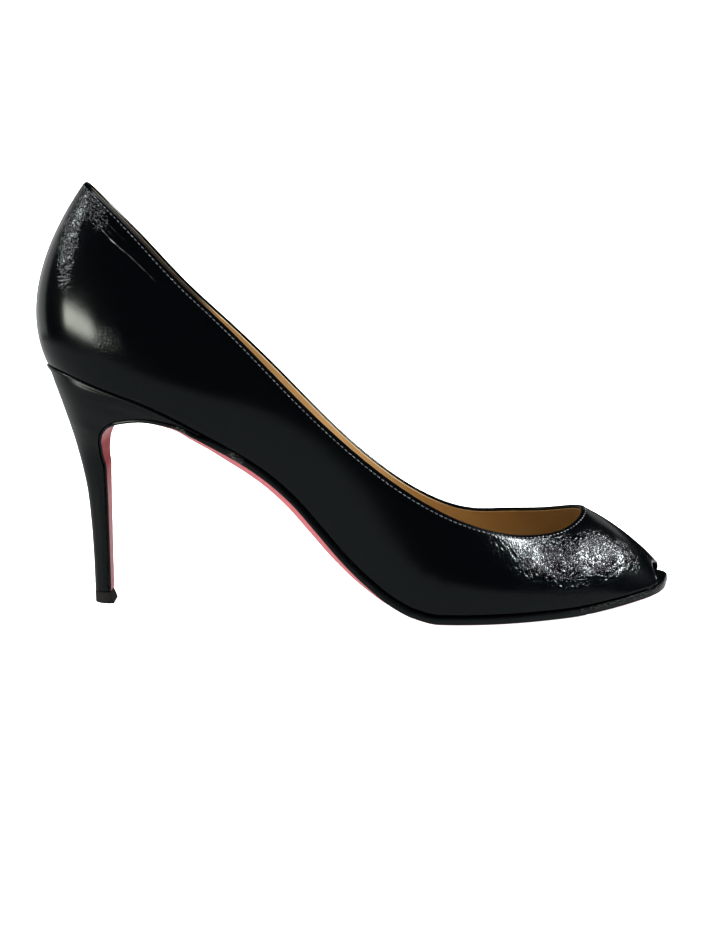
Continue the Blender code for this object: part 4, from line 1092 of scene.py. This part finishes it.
def make_heel_cover():
    """The leather over the heel block, with a rounded rim at the seat and a soft corner at its foot."""
    seat, below_seat = heel_rows[0], heel_rows[1]
    rim = []
    for share in (0.0, 0.08, 0.30, 0.60, 1.0):
        turn = min(share * LIP_TIP / RIM, 1.0)
        amount = RIM * (1 - math.sqrt(1 - (1 - turn) ** 2))
        rim.append(drawn_in(seat + (below_seat - seat) * share, amount))
    body = finer(heel_rows[1:], COVER_PARTS)
    tip = drawn_in(body[-1], FOOT_IN)
    body[-1, :, 2] += FOOT_UP
    skin = np.concatenate([np.array(rim[:-1]), body, tip[None]])
    return make_piece("heel_cover", skin, tube_faces(*skin.shape[:2]), sharp=50)


LIFT_FORM = (
    # up, flare, inset
    (1.0, 0.25, 0.0002), (0.96, 0.28, 0.0), (0.72, 0.48, 0.0), (0.45, 0.70, 0.0), (0.22, 0.86, 0.0),
    (0.05, 0.97, 0.0), (0.015, 0.98, 0.00008), (0.0, 1.00, 0.00025),
)


def make_top_lift():
    """The lift carries the heel's tip down to the floor and stands out a little in front."""
    tip = heel_rows[-1]
    back, front = tip[:, 0].min(), tip[:, 0].max()
    forward = (tip[:, 0] - back) / (front - back)
    rows = []
    for up, flare, inset in LIFT_FORM:
        row = drawn_in(tip, inset)
        row[:, 0] += forward * LIFT_FLARE * flare
        row[:, 2] = up * LIFT_HEIGHT
        rows.append(row)
    skin = np.array(rows)
    return make_piece("top_lift_rubber", skin, tube_faces(*skin.shape[:2]), sharp=50)


heel_cover = make_heel_cover()
top_lift = make_top_lift()
print("heel cover:", len(heel_cover.data.polygons), "faces; top lift:", len(top_lift.data.polygons))

# %% [markdown]
# ## The sole
# One thin leather sole runs from the toe to the waist, goes under the heel's lip and turns down the front
# of the heel. Its edge is dyed black and its underside is red, so it is made as two skins: a black
# body, and a red plate let into it, half a millimetre in from the corner. Both share one path: stations
# run from the tip back along both sides at once, so the corners stay evenly round at the toe as well.

# %% Stations of the sole
SOLE_MARGIN, WAIST_DOME, DOME_SQUARE = 0.0007, 0.0032, 3.4
FLAP_THICKNESS, FLAP_INSET, LIP_STEP, LIP_DOME = 0.0008, 0.0006, 0.0045, 1.5
SOLE_FORM = (
    # along, edge, dome, margin
    (0.240, 0.90, 0.70, 0.00), (0.300, 0.88, 1.00, 0.00), (0.400, 0.88, 1.00, 0.10),
    (0.480, 0.92, 0.92, 0.30), (0.540, 1.00, 0.45, 0.60), (0.590, 1.00, 0.00, 0.90),
    (0.700, 1.00, 0.00, 1.00), (1.020, 1.00, 0.00, 1.00),
)
SOLE_STATIONS = 150
SOLE_ACROSS = 30
CORNER = 0.00035


def rim_stations():
    """Points and ways in on the outer and the inner rim, tip to waist, both sides ending at the same x."""
    share = x_to_along(outline[:, 0])
    margin = monotone(column(SOLE_FORM, 0), column(SOLE_FORM, 3), share) * SOLE_MARGIN
    last = along_to_x(0.0) + LIP_LENGTH + LIP_STEP
    found = []
    for side in sides(grown(outline, margin)):
        path = side[::-1]
        length = length_to(path)
        whole = np.interp(last, side[:, 0], length[::-1])
        steps = spread(SOLE_STATIONS, 0.0) ** 1.25 * whole
        points = resampled(path, steps)
        ahead = unit(np.gradient(points, axis=0))
        way_in = np.column_stack([ahead[:, 1], -ahead[:, 0]])
        way_in *= np.sign(np.sum(way_in * (np.array([last, 0.0]) - points), axis=1, keepdims=True))
        way_in[0] = (-1.0, 0.0)
        found.append((points, way_in))
    return found


def flap_line():
    """Where the sole runs under the heel's lip and down its front: place, way out, half widths, how lippy."""
    fronts = finer(heel_fronts[1:, :, None], FLAP_PARTS)[:, :, 0]
    line = fronts[:, :2]
    along = np.gradient(line, axis=0)
    out = unit(np.column_stack([along[:, 1], -along[:, 0]]))
    out = -out * np.sign(out[0, 1])
    length = length_to(line)
    way = np.clip((line[:, 0] - line[:, 0].min()) / (line[0, 0] - line[:, 0].min()), 0.0, 1.0)
    way[np.argmin(line[:, 0]):] = 0.0
    inset = FLAP_INSET * np.minimum(1.0, length / LIP_DEPTH)
    return line, out, fronts[:, 2] + inset, fronts[:, 3] - inset, way


def sole_stations():
    """Every station as left and right points with ways in, and how thick and how domed it is there."""
    (outer, outer_in), (inner, inner_in) = rim_stations()
    stations = []
    for left, left_in, right, right_in in zip(outer, outer_in, inner, inner_in):
        stations.append(("rim", left, left_in, right, right_in, None, None))
    line, out, left_y, right_y, way = flap_line()
    waist = x_to_along(np.array([outer[-1, 0]]))
    edge = monotone(column(SOLE_FORM, 0), column(SOLE_FORM, 1), waist)[0] * SOLE_EDGE
    dome = monotone(column(SOLE_FORM, 0), column(SOLE_FORM, 2), waist)[0] * WAIST_DOME
    at_lip = edge - LIP_TIP - GAP
    for i in range(len(line)):
        thick = FLAP_THICKNESS + (at_lip - FLAP_THICKNESS) * way[i]
        stations.append(("flap", line[i], out[i], left_y[i], right_y[i], thick, dome * way[i] ** LIP_DOME))
    return stations


def lay(station, inset, side, across, depth):
    """A point of the sole: in from a side's rim, or a share of the way across, at a depth below its top."""
    if station[0] == "rim":
        _, left, left_in, right, right_in, _, _ = station
        if side is None:
            plan = left + left_in * CORNER + (right + right_in * CORNER - left - left_in * CORNER) * across
        else:
            plan = (left + left_in * inset) if side == 0 else (right + right_in * inset)
        square = bottom_square(np.array(plan[0]))
        depth = depth + GAP
        return (plan[0] - square[0] * depth, plan[1], float(bottom_height(plan[0])) - square[1] * depth)
    _, top, out, left_y, right_y, _, _ = station
    if side is None:
        y = left_y + CORNER + (right_y - left_y - 2 * CORNER) * across
    else:
        y = left_y + inset if side == 0 else right_y - inset
    return (top[0] + out[0] * (GAP + depth), y, top[1] + out[1] * (GAP + depth))


def thickness(station):
    """Edge thickness and dome at a station."""
    if station[0] == "flap":
        return station[5], station[6]
    share = x_to_along(np.array([(station[1][0] + station[3][0]) / 2]))
    edge = monotone(column(SOLE_FORM, 0), column(SOLE_FORM, 1), share)[0] * SOLE_EDGE
    return edge, monotone(column(SOLE_FORM, 0), column(SOLE_FORM, 2), share)[0] * WAIST_DOME


sole_path = sole_stations()
print("sole stations:", len(sole_path))

# %% Make the black edge and the red underside
PLATE = 0.0003
PLATE_EDGE, PLATE_LAP, PLATE_SINK = 0.00016, 0.00004, 0.00003  # past the corner, over the bed, below the edge
RUBBED_AT, RUBBED_WIDTH = (-0.0915, -0.0735), 0.0016
ACROSS = (1 - np.cos(np.linspace(0.0, math.pi, SOLE_ACROSS + 1))) / 2


def doming(share, edge, dome):
    """How deep the underside is at a share of the way across."""
    return edge + dome * (1 - np.abs(2 * share - 1) ** DOME_SQUARE)


def edge_section(station):
    """Round the black body: top, side with two round corners, and the bed that the red plate lies in."""
    edge, dome = thickness(station)
    corner = min(CORNER, edge * 0.3)
    soft = (1 - math.sin(math.pi / 4)) * corner
    rounding = [(corner, 0.0), (soft, soft), (0.0, corner), (0.0, edge - corner), (soft, edge - soft)]
    rounding += [(corner, edge), (corner + 0.00012, edge - 0.00005), (corner + 0.00014, edge - PLATE)]
    left = [lay(station, inset, 0, None, depth) for inset, depth in rounding]
    right = [lay(station, inset, 1, None, depth) for inset, depth in rounding]
    bed = [lay(station, 0, None, s, doming(s, edge, dome) - PLATE) for s in ACROSS[1:-1]]
    top = [lay(station, 0, None, s, 0.0) for s in ACROSS[1:-1]]
    return left + bed + right[::-1] + top[::-1]


def red_section(station):
    """Round the red plate: its lower face, and its hidden upper one."""
    edge, dome = thickness(station)
    under = [lay(station, 0, None, s, doming(s, edge, dome)) for s in ACROSS[1:-1]]
    upper, lower = -PLATE + PLATE_LAP, -PLATE_SINK
    over = [lay(station, 0, None, s, doming(s, edge, dome) + upper) for s in ACROSS[1:-1]]
    left = [lay(station, CORNER + PLATE_EDGE, 0, None, edge + depth) for depth in (upper, lower)]
    right = [lay(station, CORNER + PLATE_EDGE, 1, None, edge + depth) for depth in (lower, upper)]
    return left + under + right + over[::-1]


def dyed(skin):
    """The black dye of the edge runs a little under the tread, so no red shows there from the side."""
    low, high = skin[..., 1].min(axis=1)[:, None], skin[..., 1].max(axis=1)[:, None]
    from_rim = np.minimum(skin[..., 1] - low, high - skin[..., 1])
    return (1 - fade(from_rim, 0.0012, 0.0030)) * fade(skin[..., 0], 0.012, 0.030)


def rubbed_and_sheen(skin):
    """Where the black edge is paled: a line along its top corner at the tread, which is a painted highlight,
    and two knocks under the waist, which are real scuffs.
    """
    x = skin[..., 0]
    marks = sum(np.exp(-(((x - at) / RUBBED_WIDTH) ** 2)) for at in RUBBED_AT)
    # painted highlight: rows 1 and 2 are the top corner of the edge, paled in a line along the tread
    upper_edge = np.zeros(skin.shape[1])
    upper_edge[[1, 2]] = 1.0
    return 0.6 * np.clip(marks, 0.0, 1.0) + 0.2 * fade(x, 0.035, 0.050) * upper_edge


def make_sole_piece(name, section, title, worn):
    skin = np.array([section(station) for station in sole_path])
    piece = make_piece(name, skin, tube_faces(*skin.shape[:2]), numbers={title: worn(skin)}, sharp=40)
    return closed_up(piece)


sole_edge = make_sole_piece("sole_edge", edge_section, "rubbed_and_sheen", rubbed_and_sheen)
sole_red = make_sole_piece("sole_red", red_section, "dyed", dyed)
print("sole:", len(sole_edge.data.polygons), "and", len(sole_red.data.polygons), "faces")

# %% [markdown]
# ## A way to write materials as sums
# Shader nodes are easier to read as arithmetic. The class below wraps a socket, so that + - * add Math nodes
# behind the scenes. Anything else goes through one method that adds a node.

# %% Material helpers
class Amount:
    """A number flowing through a material."""

    def __init__(self, recipe, socket):
        self.recipe, self.socket = recipe, socket

    def __add__(self, other):
        return self.recipe.maths("ADD", self, other)

    def __radd__(self, other):
        return self.recipe.maths("ADD", other, self)

    def __sub__(self, other):
        return self.recipe.maths("SUBTRACT", self, other)

    def __mul__(self, other):
        return self.recipe.maths("MULTIPLY", self, other)

    def between(self, low, high):
        """0 below low, 1 above high, smooth between."""
        node = self.recipe.node("ShaderNodeMapRange", Value=self, interpolation_type="SMOOTHSTEP")
        node.inputs["From Min"].default_value = low
        node.inputs["From Max"].default_value = high
        return Amount(self.recipe, node.outputs["Result"])


class Recipe:
    """One material and the steps that add nodes to it."""

    def __init__(self, material):
        self.material = material
        material.use_nodes = True
        self.tree = material.node_tree
        self.shader = self.tree.nodes["Principled BSDF"]

    def feed(self, socket, value):
        if isinstance(value, Amount):
            value = value.socket
        if isinstance(value, bpy.types.NodeSocket):
            self.tree.links.new(value, socket)
        else:
            socket.default_value = value

    def node(self, kind, **settings):
        """Any node; a setting named after a socket feeds it, and others set the node itself."""
        node = self.tree.nodes.new(kind)
        named = {k: v for k, v in settings.items() if k not in node.inputs}
        for key, value in named.items():
            setattr(node, key, value)
        for key, value in settings.items():
            if key not in named:
                self.feed(node.inputs[key], value)
        return node

    def maths(self, kind, *values):
        node = self.tree.nodes.new("ShaderNodeMath")
        node.operation = kind
        for place, value in enumerate(values):
            self.feed(node.inputs[place], value)
        return Amount(self, node.outputs[0])

    def here(self):
        """Where a point is on the object, in metres."""
        return self.node("ShaderNodeTexCoord").outputs["Object"]

    def stretched(self, place, scale):
        """The place with each axis scaled, so that a pattern can be long one way."""
        return self.node("ShaderNodeMapping", Vector=place, Scale=scale).outputs["Vector"]

    def noise(self, place, scale, detail=2.0, rough=0.5, warp=0.0):
        node = self.node("ShaderNodeTexNoise", Vector=place, Scale=scale, Detail=detail)
        node.inputs["Roughness"].default_value = rough
        node.inputs["Distortion"].default_value = warp
        return Amount(self, node.outputs["Fac"])

    def cells(self, place, scale, feature="F1"):
        node = self.node("ShaderNodeTexVoronoi", Vector=place, Scale=scale, feature=feature)
        return Amount(self, node.outputs["Distance"])

    def bent(self, place, scale, amount):
        """The place moved about by soft noise, so that a pattern on it wavers."""
        wander = self.node("ShaderNodeTexNoise", Vector=place, Scale=scale).outputs["Color"]
        node = self.node("ShaderNodeVectorMath", operation="MULTIPLY_ADD")
        for socket, value in zip(node.inputs, (wander, (amount, amount, amount), place)):
            self.feed(socket, value)
        return node.outputs["Vector"]

    def number(self, title):
        """A number that the piece carries on its points."""
        return Amount(self, self.node("ShaderNodeAttribute", attribute_name=title).outputs["Fac"])

    def blend(self, share, first, second):
        """From the first colour to the second."""
        node = self.tree.nodes.new("ShaderNodeMix")
        node.data_type = "RGBA"
        self.feed(node.inputs["Factor"], share)
        self.feed(node.inputs["A"], first)
        self.feed(node.inputs["B"], second)
        return node.outputs["Result"]

    def bump(self, height, distance, before=None, strength=1.0):
        node = self.node("ShaderNodeBump", Height=height)
        node.inputs["Distance"].default_value = distance
        node.inputs["Strength"].default_value = strength
        if before is not None:
            self.tree.links.new(before, node.inputs["Normal"])
        return node.outputs["Normal"]

    def finish(self, **sockets):
        """Feeds the shader; spaces in socket names are written as underscores."""
        for title, value in sockets.items():
            self.feed(self.shader.inputs[title.replace("_", " ")], value)
        return self.material


print("material helpers ready")

# %% [markdown]
# ## The black leather
# The leather is black and glossy. Where it lies smooth it shows little but reflections. Where it is worn,
# the finest wrinkles break the light into glints, so a net of cells about a millimetre across, bent by
# noise, is pressed in by Bump wherever the points carry the number 'wrinkled'.

# %% Mix the black leather
LEATHER_BLACK, LEATHER_BLACK_PALER = (0.0003, 0.0005, 0.0007, 1.0), (0.00042, 0.0007, 0.00098, 1.0)
LEATHER_SHINE = 0.17  # how strongly it mirrors; plain plastic is 0.5
LEATHER_TINT = (0.86, 1.0, 1.0, 1.0)
# the grey of the scuffed knocks on the edge, also used for a painted highlight along its top corner
RUBBED_AND_SHEEN_GREY = (0.11, 0.11, 0.10, 1.0)
PORES = 2600.0  # to the metre, as are the other scales
NET, SMALL_NET, RIDGES = 760.0, 1500.0, 480.0
GRAIN_DEPTH, WRINKLE_DEPTH = 0.000022, 0.00025


def black_leather(name, rough=0.16, shine=LEATHER_SHINE, worn=False, knocked_and_sheen=False):
    """Black leather; worn draws the finest wrinkles, and the last switch pale flecks on the edge: scuffed
    knocks, and a painted highlight along its top corner.
    """
    recipe = Recipe(bpy.data.materials.new(name))
    place = recipe.here()
    slow = recipe.noise(place, 45.0, 3.0)
    fine = recipe.noise(place, 1500.0, 3.0, 0.6)
    pores = recipe.cells(place, PORES)
    normal = recipe.bump(pores * 0.5 + fine * 0.5, GRAIN_DEPTH)
    gloss = rough + (slow - 0.5) * 0.06 + (fine - 0.5) * 0.05
    if worn:
        mask = recipe.number("wrinkled")
        bent = recipe.bent(place, 330.0, 0.0016)
        net = recipe.cells(bent, NET, "DISTANCE_TO_EDGE").between(0.0, 0.17)
        bent = recipe.bent(place, 700.0, 0.0008)
        small = recipe.cells(bent, SMALL_NET, "DISTANCE_TO_EDGE").between(0.0, 0.26)
        ridge = recipe.noise(place, RIDGES, 3.0, 0.6, 1.0)
        height = (net * 0.34 + small * 0.12 + ridge * 0.22) * mask
        normal = recipe.bump(height, WRINKLE_DEPTH, normal)
        gloss = gloss - mask * 0.04
    tint = recipe.blend(slow, LEATHER_BLACK, LEATHER_BLACK_PALER)
    if knocked_and_sheen:
        # pale flecks where the points say so: scuffed knocks, and a painted highlight along the edge's top
        # corner
        specks_and_sheen = recipe.noise(place, 2200.0, 2.0, 0.6).between(0.50, 0.62) * recipe.number("rubbed_and_sheen")
        tint = recipe.blend(specks_and_sheen, tint, RUBBED_AND_SHEEN_GREY)
    recipe.finish(Base_Color=tint, Roughness=gloss, Normal=normal)
    recipe.finish(Specular_IOR_Level=shine, Specular_Tint=LEATHER_TINT)
    return recipe.material


upper_black = black_leather("upper_leather", worn=True)
heel_black = black_leather("heel_leather", rough=0.34)
edge_black = black_leather("edge_dye", rough=0.22, shine=0.20, knocked_and_sheen=True)
print("black leathers:", upper_black.name, heel_black.name, edge_black.name)

# %% [markdown]
# ## Tan lining, red underside, rubber and thread
# The lining is matt tan leather with a paler raw edge and a blackish grip round the heel; deep in the toe it
# carries painted shade. The underside is smooth red lacquer, scuffed lengthwise, which gives way to the
# black dye near its rim. The lift is plain rubber, and the thread has a little shine; its grey-blue colour is
# a painted highlight for the glints of the stitches.

# %% Mix the other finishes
def tan_leather():
    recipe = Recipe(bpy.data.materials.new("tan_lining"))
    place = recipe.here()
    cloudy = recipe.noise(place, 60.0, 4.0, 0.6)
    pores = recipe.cells(place, PORES)
    raw = recipe.number("raw_edge")
    colour = recipe.blend(cloudy, (0.28, 0.165, 0.055, 1.0), (0.36, 0.225, 0.085, 1.0))
    colour = recipe.blend(raw, colour, (0.50, 0.35, 0.18, 1.0))
    # blackened where the points say so: the lining's real heel grip and the sock's hidden underside, and
    # painted shade deep in the toe and over the sock's rim
    colour = recipe.blend(recipe.number("dark_and_painted_shade") * 0.93, colour, (0.014, 0.013, 0.011, 1.0))
    rough = 0.58 + (cloudy - 0.5) * 0.2
    normal = recipe.bump(pores * 0.6 + cloudy * 0.2, 0.00003, strength=0.5)
    return recipe.finish(Base_Color=colour, Roughness=rough, Normal=normal)


def red_lacquer():
    recipe = Recipe(bpy.data.materials.new("red_sole"))
    place = recipe.here()
    cloudy = recipe.noise(place, 80.0, 4.0, 0.6)
    scratch = recipe.noise(recipe.stretched(place, (120.0, 1400.0, 300.0)), 1.0, 2.0)
    colour = recipe.blend(cloudy, (0.20, 0.022, 0.030, 1.0), (0.27, 0.038, 0.048, 1.0))
    colour = recipe.blend(recipe.number("dyed"), colour, (0.001, 0.001, 0.001, 1.0))
    rough = 0.40 + (cloudy - 0.5) * 0.2 + (scratch - 0.5) * 0.15
    return recipe.finish(Base_Color=colour, Roughness=rough, Normal=recipe.bump(scratch, 0.00002))


def lift_rubber():
    recipe = Recipe(bpy.data.materials.new("lift_rubber"))
    speck = recipe.noise(recipe.here(), 1500.0, 3.0, 0.7)
    colour = recipe.blend(speck, (0.002, 0.002, 0.0022, 1.0), (0.006, 0.006, 0.006, 1.0))
    recipe.finish(Specular_IOR_Level=0.12)
    normal = recipe.bump(speck, 0.00004)
    return recipe.finish(Base_Color=colour, Roughness=0.62 + speck * 0.2, Normal=normal)


def black_thread():
    recipe = Recipe(thread)
    twist = recipe.noise(recipe.here(), 4000.0, 1.0)
    recipe.finish(Specular_IOR_Level=0.8)
    # painted highlight: the thread's base colour is a grey-blue, not black, standing in for the glints of its
    # stitches
    return recipe.finish(Base_Color=(0.022, 0.026, 0.032, 1.0), Roughness=0.24 + twist * 0.12)


FINISHES = (
    # piece, material, slot, CAD node it stands for
    (leather_upper, upper_black, "upper_leather", "upper"),
    (lining, tan_leather(), "lining", None),
    (stitches, black_thread(), "upper_leather", None),
    (sock, bpy.data.materials["tan_lining"], "lining", "insole"),
    (heel_cover, heel_black, "heel_leather", "heel"),
    (sole_edge, edge_black, "heel_leather", "outsole"),
    (sole_red, red_lacquer(), "red_sole", None),
    (top_lift, lift_rubber(), "lift_rubber", "top_lift"),
)
for piece, material, slot, node in FINISHES:
    piece.data.materials.clear()
    piece.data.materials.append(material)
    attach(piece, "root")
    if node:
        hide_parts(node)
print("dressed", len(FINISHES), "pieces")

# %% [markdown]
# ## The table, the backdrop and the light
# The photograph was taken on white paper, and the paper is brighter in the picture than the leather mirrors
# it. So the scene has two sets of stage pieces: the white paper, which the camera sees and which lights the
# shoe softly, and grey cards, which only mirror in the gloss. Where no card or lamp stands, black leather
# stays black. The lamps stand where the photograph's highlights look, worked out from the shoe's own shape.

# %% Floor and cards
PAPER_GLOW = 1.00  # the paper is lit from behind, so it stays white under the shoe
PAPER_PALE = 0.86
PAPER_FLAT, PAPER_BEND, PAPER_TOP = 1.3, 0.5, 2.4
CARD_REACH = 1.0


def stage_piece(name, points, faces, glow, pale=0.0):
    """A sheet that glows white, for the stage alone."""
    mesh = bpy.data.meshes.new(name)
    mesh.from_pydata(points, [], faces)
    mesh.shade_smooth()
    piece = bpy.data.objects.new(name, mesh)
    bpy.context.scene.collection.objects.link(piece)
    recipe = Recipe(bpy.data.materials.new(name))
    recipe.finish(Base_Color=(pale, pale, pale, 1.0), Roughness=0.9, Specular_IOR_Level=0.0)
    recipe.finish(Emission_Color=(1.0, 1.0, 1.0, 1.0), Emission_Strength=glow)
    mesh.materials.append(recipe.material)
    return piece


def make_paper():
    """A round table that curves up into a backdrop behind the shoe, too far off to crowd it."""
    profile = [(0.02, 0.0), (PAPER_FLAT, 0.0)]
    for angle in np.linspace(0.0, math.pi / 2, 13)[1:]:
        profile.append((PAPER_FLAT + PAPER_BEND * math.sin(angle), PAPER_BEND * (1 - math.cos(angle))))
    profile.append((PAPER_FLAT + PAPER_BEND, PAPER_TOP))
    turns = np.linspace(math.radians(-30.0), math.radians(210.0), 73)
    points = [(r * math.cos(a), r * math.sin(a), z) for a in turns for r, z in profile]
    faces = faces_of_grid(len(turns), len(profile), False, False).tolist()
    first = len(points)
    points += [(x, y, -0.0004) for x, y in ((-1.9, -1.9), (1.9, -1.9), (1.9, 0.5), (-1.9, 0.5))]
    faces.append([first, first + 1, first + 2, first + 3])
    paper = stage_piece("white_paper", points, faces, PAPER_GLOW, PAPER_PALE)
    paper.visible_glossy = False


def make_card(name, points, faces, glow):
    """A sheet that is seen only in the gloss."""
    card = stage_piece(name, points, faces, glow)
    card.visible_camera = card.visible_diffuse = card.visible_shadow = False


def standing_card(name, glow, first, last, low, high):
    """A piece of a tall ring round the shoe, between two bearings in degrees."""
    turns = np.radians(np.linspace(first, last, 25))
    points = [(CARD_REACH * math.cos(a), CARD_REACH * math.sin(a), z) for a in turns for z in (low, high)]
    make_card(name, points, faces_of_grid(len(turns), 2, False, False).tolist(), glow)


make_paper()
standing_card("card_behind_heel", 1.10, 125.0, 164.0, 0.0, 0.50)
standing_card("card_behind", 0.45, 98.0, 125.0, 0.0, 0.50)
standing_card("card_behind_toe", 0.55, 38.0, 66.0, 0.25, 0.60)
table = [(-0.7, -0.7, 0.0), (1.0, -0.7, 0.0), (1.0, 0.3, 0.0), (-0.2, 0.3, 0.0), (-0.2, 1.0, 0.0)]
table += [(-0.7, 1.0, 0.0), (-0.7, 0.3, 0.0)]
make_card("card_under", table, [[0, 1, 2, 3, 6], [6, 3, 4, 5]], 0.72)
print("paper and cards placed")

# %% Lamps
SHOE_MIDDLE = np.array([0.0, 0.0, 0.06])
WARM = (1.0, 0.93, 0.82)


def soft_light(name, way, reach, width, height, power, colour=(1.0, 1.0, 1.0), mirrors=True):
    """A soft lamp that far from the shoe in a direction, facing it."""
    light = bpy.data.lights.new(name, "AREA")
    light.shape, light.size, light.size_y = "RECTANGLE", width, height
    light.energy, light.color = power, colour
    lamp = bpy.data.objects.new(name, light)
    bpy.context.scene.collection.objects.link(lamp)
    away = unit(np.array(way, float))
    side = unit(np.cross([0.0, 0.0, 1.0], away))
    lamp.matrix_world = stood(away * reach + SHOE_MIDDLE, side, np.cross(away, side), away)
    lamp.visible_glossy = mirrors


soft_light("over_the_shoe", (-0.05, -0.02, 1.0), 0.9, 0.13, 1.0, 5.0)
soft_light("from_the_front", (-0.10, -1.0, 0.60), 1.2, 0.9, 0.6, 5.5, mirrors=False)
soft_light("window_at_the_heel", (-0.84, -0.53, 0.18), 0.9, 0.40, 0.16, 6.6, WARM)
soft_light("beside_the_window", (-0.58, -0.80, 0.15), 0.9, 0.30, 0.11, 0.7, WARM)
soft_light("high_at_the_heel", (-0.83, -0.10, 0.54), 0.9, 0.14, 0.12, 4.2)
soft_light("window_at_the_toe", (0.872, -0.06, 0.485), 0.9, 0.20, 0.15, 21.0)
print("lamps placed")

# %% The room
# The camera sees white wherever it looks past the paper, and everything else sees an unlit room.
room = bpy.context.scene.world or bpy.data.worlds.new("room")
bpy.context.scene.world = room
room.use_nodes = True
tree = room.node_tree
looked_at = tree.nodes.new("ShaderNodeLightPath").outputs["Is Camera Ray"]
shade = tree.nodes.new("ShaderNodeMix")
shade.data_type = "RGBA"
shade.inputs["A"].default_value = (0.002, 0.0024, 0.0026, 1.0)
shade.inputs["B"].default_value = (1.0, 1.0, 1.0, 1.0)
tree.links.new(looked_at, shade.inputs["Factor"])
tree.links.new(shade.outputs["Result"], tree.nodes["Background"].inputs["Color"])
tree.nodes["Background"].inputs["Strength"].default_value = 1.0
bpy.context.scene.view_settings.view_transform = "Standard"
print("room ready; pictures are made with the", bpy.context.scene.view_settings.view_transform, "view")
